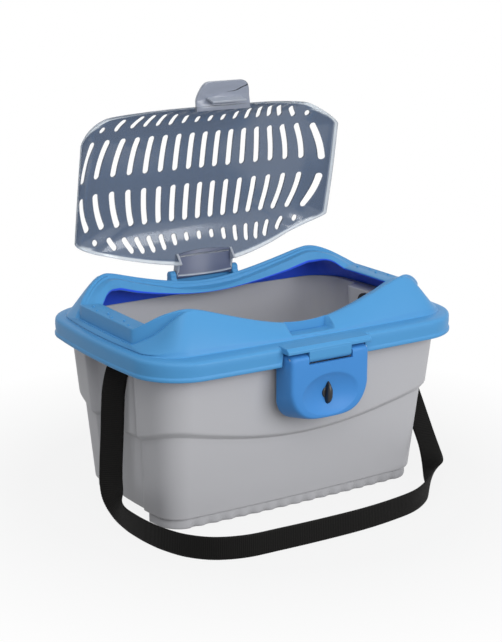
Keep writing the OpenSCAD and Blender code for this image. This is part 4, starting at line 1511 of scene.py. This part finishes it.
    def hinge_plate(self) -> bpy.types.Object:
        """The plate, its cheeks and the barrel that turn on the pin.

        Returns:
            The plate as it stands open.
        """
        c = self.cover
        y, z, half = c.hinge_y, c.hinge_z, c.plate_half
        top = np.array([y - self.plate_reach, z + 0.8])
        low = np.array([y - 0.5, z - self.plate_drop])
        edge = np.array([c.ring_y - self.inset, z - 10.0])
        over = float(c.ring_height(np.array([half]))[0]) + c.rear_rise + 1.0
        up = (top - low) / np.linalg.norm(top - low)
        plate = np.array([top, low + 2.2 * up, low, low + (2, 2.2), low + (0.8, 4.4),
                          low + (0.8, 4.4) + 2.2 * up, top + (1, 3.0)])
        cheek = np.array([top, edge, (c.ring_y - 9, over), (c.ring_y + 0.6, over),
                          low + (0, 3.6), (y + 4, z - 3), (y + 3, z + 4), top + (4, 3.8)])
        barrel = (y, z) + self.barrel_r * arc(0, 345, 24)
        rows = []
        n = len(plate)
        for share in np.linspace(-1, 1, 11):
            arched = plate.copy()
            arched[[0, n - 1]] += up * (3.4 * (1 - share * share) - 1.4)
            arched[1:n - 1, 1] += 3.0 * share * share
            rows.append(np.column_stack([np.full(n, share * (half - 1.0)), arched]))
        parts = [bar_data(np.array(rows)), prism_data(barrel, half - 0.2)]
        parts += [prism_data(cheek, 1.25, s * (half - 1.25)) for s in (-1, 1)]
        counts = [len(p) for p, _ in parts]
        points, faces = joined(parts)
        obj = mesh_object("lid_hinge_plate", self.opened(points), faces, 35)
        # painted highlight: the cheeks and the plate's lower edge are painted partly pale
        painted_light = np.zeros(len(points))
        painted_light[counts[0] + counts[1]:] = 0.55
        painted_light[:counts[0]][np.isin(np.arange(counts[0]) % n, (2, 3, 4))] = 0.8
        point_values(obj, "painted_light", painted_light)
        return obj

    def tip(self) -> float:
        """Y of the tab's front edge."""
        return -self.cover.ring_y + self.inset - self.tab_out

    def tab(self) -> bpy.types.Object:
        """The finger tab: a dished plate with a thick edge painted pale as a highlight, and
        a hook below.

        Returns:
            The tab as it stands open.
        """
        c = self.cover
        root = -c.ring_y + self.inset + 2
        tip, z, w = self.tip(), self.tab_z, self.tab_half
        corners = np.array([[-w - 2.0, root], [-w - 0.5, tip + 15], [-w + 7.5, tip],
                            [w - 5.5, tip], [w - 0.5, tip + 10], [w + 0.5, root]])
        outline = self.rounded(corners, (0, 6, 7, 7, 6, 0))
        middle = np.array([0.0, lerp(root, tip, 0.45)])
        rows = []
        levels = [(1.0, 0.6, 0), (1.0, 0.0, 0.5), (1.0, self.tab_t, 1.1),
                  (0.90, self.tab_t, 0.8), (0.87, 1.5, 0.8), (0.5, 1.3, 0)]
        under = [(0.5, 0.1, 0), (0.9, 0.1, 0.4), (0.96, 0.1, 0.3)]
        for share, up, r in under + levels:
            rows.append((at_z(middle + (outline - middle) * share, z + up), r))
        obj = shell("lid_tab", filleted(rows, n=4))
        flat = coordinates(obj)
        reach = np.abs(flat[:, 2] - z)
        # painted highlight: the raised edge is painted mostly pale and the dish a little
        point_values(obj, "painted_light", np.where(reach > 1.9, 0.8, 0.3))
        self.bend(obj)
        self.swing(obj)
        return obj

    def bend(self, obj: bpy.types.Object) -> None:
        """Lowers the tab's root from the tab's height to the lid's seat.

        Args:
            obj: the tab on the closed lid.
        """
        c = self.cover
        flat = coordinates(obj)
        seat = c.ring_height(flat[:, 0]) - c.seat_drop + 0.6
        down = 1 - smooth((np.abs(flat[:, 1]) - 93) / 6)
        flat[:, 2] += (seat - self.tab_z) * down
        put_points(obj, flat)

    def window(self) -> bpy.types.Object:
        """The finger hold in the tab: a shallow rounded plate, painted pale as a reflection.

        Returns:
            The finger hold as it stands open.
        """
        tip, z = self.tip(), self.tab_z
        corners = np.array([[-21, tip + 14.5], [-17.5, tip + 4.5], [19.5, tip + 4.5],
                            [21.5, tip + 12.5]], float)
        outline = self.rounded(corners, (4, 4, 3.5, 5))
        middle = outline.mean(0)
        rows = [(at_z(middle + (outline - middle) * s, z + up), r)
                for s, up, r in ((0.6, 0.2, 0), (1.0, 0.2, 0.3), (1.0, 2.4, 0.8),
                                 (0.93, 3.0, 0.6), (0.86, 2.2, 0.6), (0.5, 1.9, 0))]
        obj = shell("tab_hold_painted_reflection", filleted(rows, n=4))
        # painted reflection: the whole hold is painted pale
        point_values(obj, "painted_light", np.full(len(obj.data.vertices), 1.0))
        self.swing(obj)
        return obj

    def hook(self) -> bpy.types.Object:
        """The catch under the tab that drops into the pocket's slit.

        Returns:
            The catch as it stands open.
        """
        c = self.cover
        (y0, y1), half = self.hook_y, self.hook_half
        points, faces = box_data((-half, y0, c.pocket_z - 1), (half, y1, self.tab_z + 1))
        obj = mesh_object("lid_hook", self.opened(points), faces, 30)
        bevelled(obj, 0.5, 2)
        # painted highlight: the catch is painted half pale
        point_values(obj, "painted_light", np.full(len(obj.data.vertices), 0.5))
        return obj

    def swing(self, obj: bpy.types.Object) -> None:
        """Swings a piece that was made on the closed lid to where the lid stands."""
        put_points(obj, self.opened(coordinates(obj)))

    @staticmethod
    def rounded(corners: Array, radii: tuple, n: int = 7) -> Array:
        """Closed outline with each corner rounded by a quadratic arc of its radius.

        Args:
            corners: x, y of each corner.
            radii: how far each arc starts from its corner, 0 for a sharp one.
            n: points on an arc.

        Returns:
            The outline's x, y points.
        """
        out = []
        for k, (p, r) in enumerate(zip(corners, radii)):
            a = unit(corners[k - 1] - p) * r
            b = unit(corners[(k + 1) % len(corners)] - p) * r
            if r == 0:
                out.append(p)
                continue
            for t in np.linspace(0, 1, n):
                out.append(p + (1 - t) ** 2 * a + t * t * b)
        return np.array(out)

    def build(self) -> None:
        """Makes and dresses the lid's pieces."""
        dressed(self.vented(), Body.LID, Slot.LID, SMOKE, "lid")
        for piece in (self.hinge_plate(), self.tab(), self.window(), self.hook()):
            dressed(piece, Body.LID, Slot.LID, THICK_SMOKE)


# ---------------------------------------------------------------- latches
@dataclass
class Latch:
    """One drop latch with its turn knob; side is 1 for the rear, -1 for the front."""

    side: int
    half_w: float = 51.0
    face_y: float = 148.3
    depth: float = 25.0
    low_z: float = 112.0
    top_z: float = 187.6
    rise: float = 34.0
    t: float = 2.5
    flare: float = 3.2
    front_round: float = 5.0
    top_round: float = 5.0
    dish_half_x: float = 35.0
    dish_half_z: float = 22.5
    dish_depth: float = 6.5
    lock_z: float = 140.5
    window_half: float = 27.0
    window_z: float = 175.2
    fin_r: float = 12.6
    fin_half: float = 3.6
    foot_r: float = 6.6
    shaft_r: float = 4.0
    shaft_from: float = 126.7
    keeper_x: tuple = (7.5, 23.5)
    keeper_y: float = 131.4
    keeper_room: float = 13.0

    @property
    def name(self) -> str:
        """Which latch it is."""
        return "front" if self.side < 0 else "rear"

    def outline(self, inset: float, square: float = 0.0) -> Array:
        """Latch seen from the front: upright flanks over a bowed lower edge.

        Args:
            inset: distance inside the outermost edge.
            square: 0 for the face's round lower corners, 1 for the back's squarer ones.

        Returns:
            The outline's x, z points.
        """
        h, z0, z1 = self.half_w - inset, self.low_z + inset, self.top_z - inset
        rise, power = self.rise - 11 * square, 0.55 - 0.15 * square
        a = np.radians(np.linspace(180, 360, 61))
        c, s = np.cos(a), np.sin(a)
        bow = np.stack([h * np.sign(c) * np.abs(c) ** power,
                        z0 + rise * (1 - np.abs(s) ** 1.25)], -1)
        r = self.top_round
        up = np.linspace(z0 + rise, z1 - r, 10)[1:-1]
        corner = (h - r, z1 - r) + r * arc(0, 90, 6)
        top = np.linspace(h - r, r - h, 30)[1:-1]
        return np.concatenate([
            bow, np.stack([np.full(len(up), h), up], -1), corner,
            np.stack([top, np.full(len(top), z1)], -1), corner[::-1] * (-1, 1),
            np.stack([np.full(len(up), -h), up[::-1]], -1)])

    def ellipse(self, share: float) -> Array:
        """The dish's edge, shrunk to a share, with a point for each of the outline's.

        Args:
            share: share of the dish's size.

        Returns:
            The edge's x, z points.
        """
        loop = self.outline(10) - (0, self.lock_z)
        a = np.arctan2(loop[:, 1] / self.dish_half_z, loop[:, 0] / self.dish_half_x)
        return np.stack([self.dish_half_x * share * np.cos(a),
                         self.lock_z + self.dish_half_z * share * np.sin(a)], -1)

    @staticmethod
    def upright(flat: Array, y: Array | float) -> Array:
        """Points of x, z at distance y from the middle."""
        return np.stack([flat[:, 0], np.broadcast_to(y, len(flat)), flat[:, 1]], -1)

    def placed(self, flat: Array, y: Array | float) -> Array:
        """Points of x, z at distance y from the middle, on this latch's side."""
        return self.upright(flat, y) * (self.side, self.side, 1)

    def shell(self) -> bpy.types.Object:
        """The moulding: flared skirt, face, dish and inside as one closed skin.

        Returns:
            The latch's shell with the holes for its tongue and keeper.
        """
        face, back, t = self.face_y, self.face_y - self.depth, self.t
        at = self.placed
        outer = [(at(self.ellipse(s), face - self.dish_depth * (1 - s * s) - 0.2), 0)
                 for s in (0.12, 0.3, 0.5, 0.68, 0.83, 0.93)]
        outer += [(at(self.ellipse(1.0), face), 2.2),
                  (at(lerp(self.ellipse(1.05), self.outline(self.flare + 4), 0.5), face),
                   0),
                  (at(self.outline(self.flare), face), self.front_round),
                  (at(self.outline(self.flare * 0.55, 0.4), face - 9), 0),
                  (at(self.outline(0, 1.0), back), 0.7)]
        inner = [(at(self.outline(t, 1.0), back), 0.7),
                 (at(self.outline(self.flare + t), face - t - 1), 2.5),
                 (at(self.ellipse(1.05), face - t - 1), 1.5)]
        inner += [(at(self.ellipse(s), face - t - self.dish_depth * (1 - s * s) - 1), 0)
                  for s in (0.83, 0.6, 0.3, 0.12)]
        obj = shell(f"{self.name}_latch_shell", filleted(outer + inner))
        window = box_data((-self.window_half - 0.2, back - 2, self.window_z),
                          (self.window_half + 0.2, face + 4, self.top_z + 6))
        x0, x1 = self.keeper_x
        keeper = box_data((x0, back - 1, self.low_z - 1),
                          (x1, self.keeper_y, self.low_z + self.keeper_room))
        points, faces = joined([window, keeper])
        cutter = mesh_object("window", points * (self.side, self.side, 1), faces)
        return sharpened(cut_by(obj, cutter), 42)

    def knob(self) -> bpy.types.Object:
        """The turn knob: a tapered fin on a round foot, with its shaft.

        The fin is a disc about X whose edge is a superellipse and whose upper part thins.

        Returns:
            The knob, foot and shaft as one piece.
        """
        foot_y = self.face_y - self.dish_depth
        u = np.radians(np.arange(0, 360, 7.5))[None, :]
        v = np.radians(np.linspace(-86, 86, 15))[:, None]
        r = self.fin_r * np.cos(v) ** 0.5
        x = self.fin_half * np.sign(np.sin(v)) * np.abs(np.sin(v)) ** 0.8
        z = r * np.sin(u)
        y = r * np.cos(u) * np.where(np.cos(u) > 0, 0.62, 0.3)
        thin = 1 - 0.5 * smooth(z / self.fin_r)
        fin = np.stack([x * thin, foot_y + y - 0.2, self.lock_z + z], -1)
        ring, centre = arc(0, 350, 36), (0, self.lock_z)
        foot = filleted([(self.upright(ring * r0 + centre, foot_y + up), rr)
                         for r0, up, rr in ((self.foot_r, 0.2, 0.3),
                                            (self.foot_r, 1.2, 0.6),
                                            (self.shaft_r, 1.8, 0))], n=3)
        shaft = np.array([self.upright(ring * self.shaft_r + centre, y0)
                          for y0 in (self.shaft_from, foot_y + 0.6)])
        parts = []
        for points, faces in map(fan_data, (fin, foot, shaft)):
            tri = points[[f[:3] for f in faces]] - points.mean(0)
            if np.einsum("ij,ij->", tri[:, 0], np.cross(tri[:, 1], tri[:, 2])) < 0:
                faces = [f[::-1] for f in faces]
            parts.append((points * (self.side, self.side, 1), faces))
        return mesh_object(f"{self.name}_turn_knob", *joined(parts), 50)

    def build(self) -> None:
        """Makes and dresses the latch and its knob."""
        body = Body.FRONT_LATCH if self.side < 0 else Body.REAR_LATCH
        lock = Body.FRONT_LOCK if self.side < 0 else Body.REAR_LOCK
        dressed(self.shell(), body, Slot.LATCH, LATCH_BLUE, f"{self.name}_latch")
        dressed(self.knob(), lock, Slot.BLACK, BLACK, f"{self.name}_lock_knob")


# ---------------------------------------------------------------- strap
@dataclass
class Strap:
    """The webbing shoulder strap, a flat cord from one end wall round the front."""

    width: float = 25.0
    thickness: float = 1.6
    rib: float = 2.1
    rib_depth: float = 0.16
    edge_wave: float = 0.3
    steps_per_rib: int = 4
    route: tuple = (
        # middle of the webbing, plan angle of its width, tilt of its width from level
        (-168.5, -14, 187, -90, 0), (-169, -14, 178, -80, 0), (-173, -14, 167, -54, 0),
        (-177.5, -14, 155, -42, 0), (-181, -14, 138, -38, 0), (-182.5, -14, 120, -37, 0),
        (-184, -14, 91, -38, 0), (-186, -14, 60, -36, 0), (-187, -15, 40, -34, 8),
        (-188, -20, 26, -38, 28), (-190, -34, 16, -60, 62), (-192, -54, 12.8, -80, 86),
        (-192, -77, 12.6, -90, 90), (-190, -100, 12.6, -90, 90),
        (-185, -124, 12.6, -90, 90), (-174, -150, 12.6, -90, 90),
        (-154, -171, 12.6, -90, 90), (-124, -183, 12.6, -90, 90),
        (-86, -186, 12.6, -90, 90), (-39, -188, 12.6, -90, 90), (12, -188, 12.6, -90, 90),
        (55, -184, 12.6, -90, 90), (92, -176, 12.6, -90, 90), (122, -159, 12.8, -80, 88),
        (144, -138, 13, -60, 74), (160, -120, 14, -40, 45), (174, -104, 18, -26, 18),
        (184, -86, 26, -18, 0), (190, -66, 42, -18, -6), (192, -47, 64, -26, -6),
        (191, -29, 90, -40, -4), (187, -12, 118, -56, 0), (182, 2, 140, -64, 0),
        (175, 11, 155, -78, 0), (169, 14, 166, -90, 0), (168.5, 14, 176, -90, 0),
        (168.5, 14, 187, -90, 0))

    def line(self, per_span: int) -> Array:
        """The route as a Catmull-Rom curve through its stations.

        Args:
            per_span: points between two stations.

        Returns:
            Rows of x, y, z, plan angle and tilt.
        """
        p = np.array(self.route, float)
        n = len(p) - 1
        i = np.repeat(np.arange(n), per_span)
        t = np.tile(np.arange(per_span) / per_span, n)[:, None]
        a, b = p[np.maximum(i - 1, 0)], p[i]
        c, d = p[i + 1], p[np.minimum(i + 2, n)]
        curve = 0.5 * (2 * b + (c - a) * t + (2 * a - 5 * b + 4 * c - d) * t ** 2
                       + (3 * b - a - 3 * c + d) * t ** 3)
        return np.concatenate([curve, p[-1:]])

    def build(self) -> None:
        fine = self.line(60)
        steps = np.linalg.norm(np.diff(fine[:, :3], axis=0), axis=1)
        run = np.concatenate([[0], np.cumsum(steps)])
        count = int(run[-1] / self.rib * self.steps_per_rib)
        s = np.linspace(0, run[-1], count)
        at = np.stack([np.interp(s, run, fine[:, k]) for k in range(5)], -1)
        middle = at[:, :3]
        along = unit(np.gradient(middle, axis=0))
        turn, tilt = np.radians(at[:, 3]), np.radians(at[:, 4])
        width = np.stack([np.cos(tilt) * np.cos(turn), np.cos(tilt) * np.sin(turn),
                          np.sin(tilt)], -1)
        wide = unit(width - np.sum(width * along, 1, keepdims=True) * along)
        thick = np.cross(along, wide)
        wave = np.sin(2 * math.pi * s / self.rib)
        a = self.width / 2 - self.edge_wave * (0.5 - 0.5 * wave)
        b = self.thickness / 2 - self.rib_depth * (0.5 - 0.5 * wave)
        across = np.array([1, 0.97, 0.75, 0.25, -0.25, -0.75, -0.97, -1])
        level = np.array([0.0, 0.75, 1, 1, 1, 1, 0.75, 0.0])
        u = np.concatenate([across, across[-2:0:-1]])
        v = np.concatenate([level, -level[-2:0:-1]])
        rows = (middle[:, None] + (a[:, None] * u)[..., None] * wide[:, None]
                + (b[:, None] * v)[..., None] * thick[:, None])
        rows[..., 2] = np.maximum(rows[..., 2], 0.02)
        obj = shell("shoulder_strap", rows, poles=False)
        self.unwrap(obj, s, u * self.width / 2)
        dressed(obj, Body.TUB, Slot.WEBBING, WEBBING, "strap")
        path = [tuple(p) for p in (middle[:: self.steps_per_rib] * MM).tolist()]
        path.append(tuple((middle[-1] * MM).tolist()))

    @staticmethod
    def unwrap(obj: bpy.types.Object, s: Array, across: Array) -> None:
        """UV map "webbing": metres along the strap, then metres across it.

        Args:
            obj: the strap.
            s: distance along the strap of each row.
            across: place across the strap of each of a row's points.
        """
        mesh = obj.data
        n = len(across)
        vertex = np.empty(len(mesh.loops), np.int32)
        mesh.loops.foreach_get("vertex_index", vertex)
        uv = np.stack([s[vertex // n], across[vertex % n]], -1) * MM
        layer = mesh.uv_layers.new(name="webbing")
        layer.data.foreach_set("uv", uv.astype(np.float32).ravel())


# ---------------------------------------------------------------- frame's own pieces
def dress_frame() -> None:
    """Gives the small frame nodes that stay their finishes."""
    finishes = {
        STEEL: ("lid_hinge_pin", "front_latch_pin", "rear_latch_pin", "front_cam_screw",
                "rear_cam_screw"),
        BLACK: ("front_lock_cam", "rear_lock_cam", "left_strap_button",
                "right_strap_button", "left_strap_washer", "right_strap_washer"),
    }
    for finish, names in finishes.items():
        for name in names:
            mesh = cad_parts[name].data
            mesh.materials.clear()
            mesh.materials.append(finish.material())


# ---------------------------------------------------------------- stage
@dataclass
class Stage:
    """Camera, pale floor and soft studio light."""

    camera_at: tuple = (-0.8991, -1.4062, 0.6349)
    look_at: tuple = (-0.0028, 0.0, 0.1843)
    lens: float = 88.3
    sensor: float = 36.0
    lamps_at: tuple = (0, 0, 0.1)
    floor_half: float = 6.0
    floor_below: float = 0.0004
    floor_grey: float = 0.36
    fade: tuple = (0.25, 0.5, 0.87, 1.0)
    lit_colour: tuple = (0.95, 0.97, 1.0, 1)
    lit_strength: float = 0.37
    lamps: tuple = (
        # name, place, size in metres, watts
        ("key", (0.75, -2.3, 0.95), 1.3, 34.0),
        ("fill", (-1.0, -2.1, 1.6), 1.4, 18.0),
        ("top", (-0.8, -0.4, 2.3), 1.6, 16.0))

    def camera(self) -> None:
        """The camera at the photograph's viewing angle."""
        data = bpy.data.cameras.new("camera")
        data.lens, data.sensor_width = self.lens, self.sensor
        data.clip_start, data.clip_end = 0.05, 50
        cam = added("camera", data)
        self.aimed(cam, self.camera_at, self.look_at)
        bpy.context.scene.camera = cam

    @staticmethod
    def aimed(obj: bpy.types.Object, place: tuple, target: tuple) -> None:
        """Puts a camera or lamp in its place, looking at the target.

        Args:
            obj: the camera or lamp.
            place: where it stands.
            target: what it looks at.
        """
        obj.location = place
        way = Vector(target) - Vector(place)
        obj.rotation_mode = "QUATERNION"
        obj.rotation_quaternion = way.to_track_quat("-Z", "Y")

    @staticmethod
    def seen_white(tree: bpy.types.NodeTree, lit: bpy.types.Node, seen: bpy.types.Node,
                   target: bpy.types.NodeSocket) -> None:
        """Mixes in the seen shader for camera, glossy and transmitted rays.

        Args:
            tree: the node tree.
            lit: the shader that lights the object.
            seen: the shader that is seen.
            target: the output's input.
        """
        path = wired(tree, "ShaderNodeLightPath").outputs
        most = path["Is Camera Ray"]
        for label in ("Is Glossy Ray", "Is Transmission Ray"):
            most = maths(tree, "MAXIMUM", most, path[label])
        mix = wired(tree, "ShaderNodeMixShader",
                    {0: most, 1: lit.outputs[0], 2: seen.outputs[0]})
        tree.links.new(mix.outputs[0], target)

    def world(self) -> None:
        """White where it is seen, and a softer even light on the object."""
        world = bpy.data.worlds.new("studio")
        world.use_nodes = True
        bpy.context.scene.world = world
        tree = world.node_tree
        lit = tree.nodes["Background"]
        lit.inputs["Color"].default_value = self.lit_colour
        lit.inputs["Strength"].default_value = self.lit_strength
        seen = wired(tree, "ShaderNodeBackground", {"Color": (1, 1, 1, 1), "Strength": 1.0})
        self.seen_white(tree, lit, seen, tree.nodes["World Output"].inputs["Surface"])

    def floor(self) -> None:
        """A plain pale floor, which fades to white away from the object's shadow."""
        h, z = self.floor_half, -self.floor_below
        mesh = bpy.data.meshes.new("floor")
        mesh.from_pydata([(-h, -h, z), (h, -h, z), (h, h, z), (-h, h, z)], [],
                         [(0, 1, 2, 3)])
        floor = added("floor", mesh)
        mat, shader = principled("floor", {
            "Base Color": (*(self.floor_grey,) * 3, 1), "Roughness": 0.9,
            "Specular IOR Level": 0.1})
        tree = mat.node_tree
        seen = wired(tree, "ShaderNodeEmission", {"Strength": 1.0})
        coord = wired(tree, "ShaderNodeTexCoord").outputs["Object"]
        reach = wired(tree, "ShaderNodeVectorMath", {0: coord}, operation="LENGTH")
        ends = dict(zip(("From Min", "From Max", "To Min", "To Max"), self.fade))
        share = wired(tree, "ShaderNodeMapRange",
                      {"Value": reach.outputs["Value"], **ends})
        blend = wired(tree, "ShaderNodeMixShader",
                      {0: share.outputs["Result"], 1: shader.outputs[0],
                       2: seen.outputs[0]})
        self.seen_white(tree, shader, blend,
                        tree.nodes["Material Output"].inputs["Surface"])
        mesh.materials.append(mat)

    def lights(self) -> None:
        """Large soft lamps: a key from the front right, a fill from the left and a top."""
        for name, place, size, power in self.lamps:
            data = bpy.data.lights.new(name, "AREA")
            data.size, data.energy = size, power
            self.aimed(added(name, data), place, self.lamps_at)

    def build(self) -> None:
        """Sets up the view, the floor and the light."""
        bpy.context.scene.view_settings.view_transform = "Standard"
        self.camera()
        self.world()
        self.floor()
        self.lights()


def main() -> None:
    """Builds the stage and the carrier."""
    Stage().build()
    Strap().build()
    Tub().build()
    cover = Cover()
    cover.build()
    Lid(cover).build()
    Latch(-1).build()
    Latch(1).build()
    dress_frame()


if __name__ == "__main__":
    main()
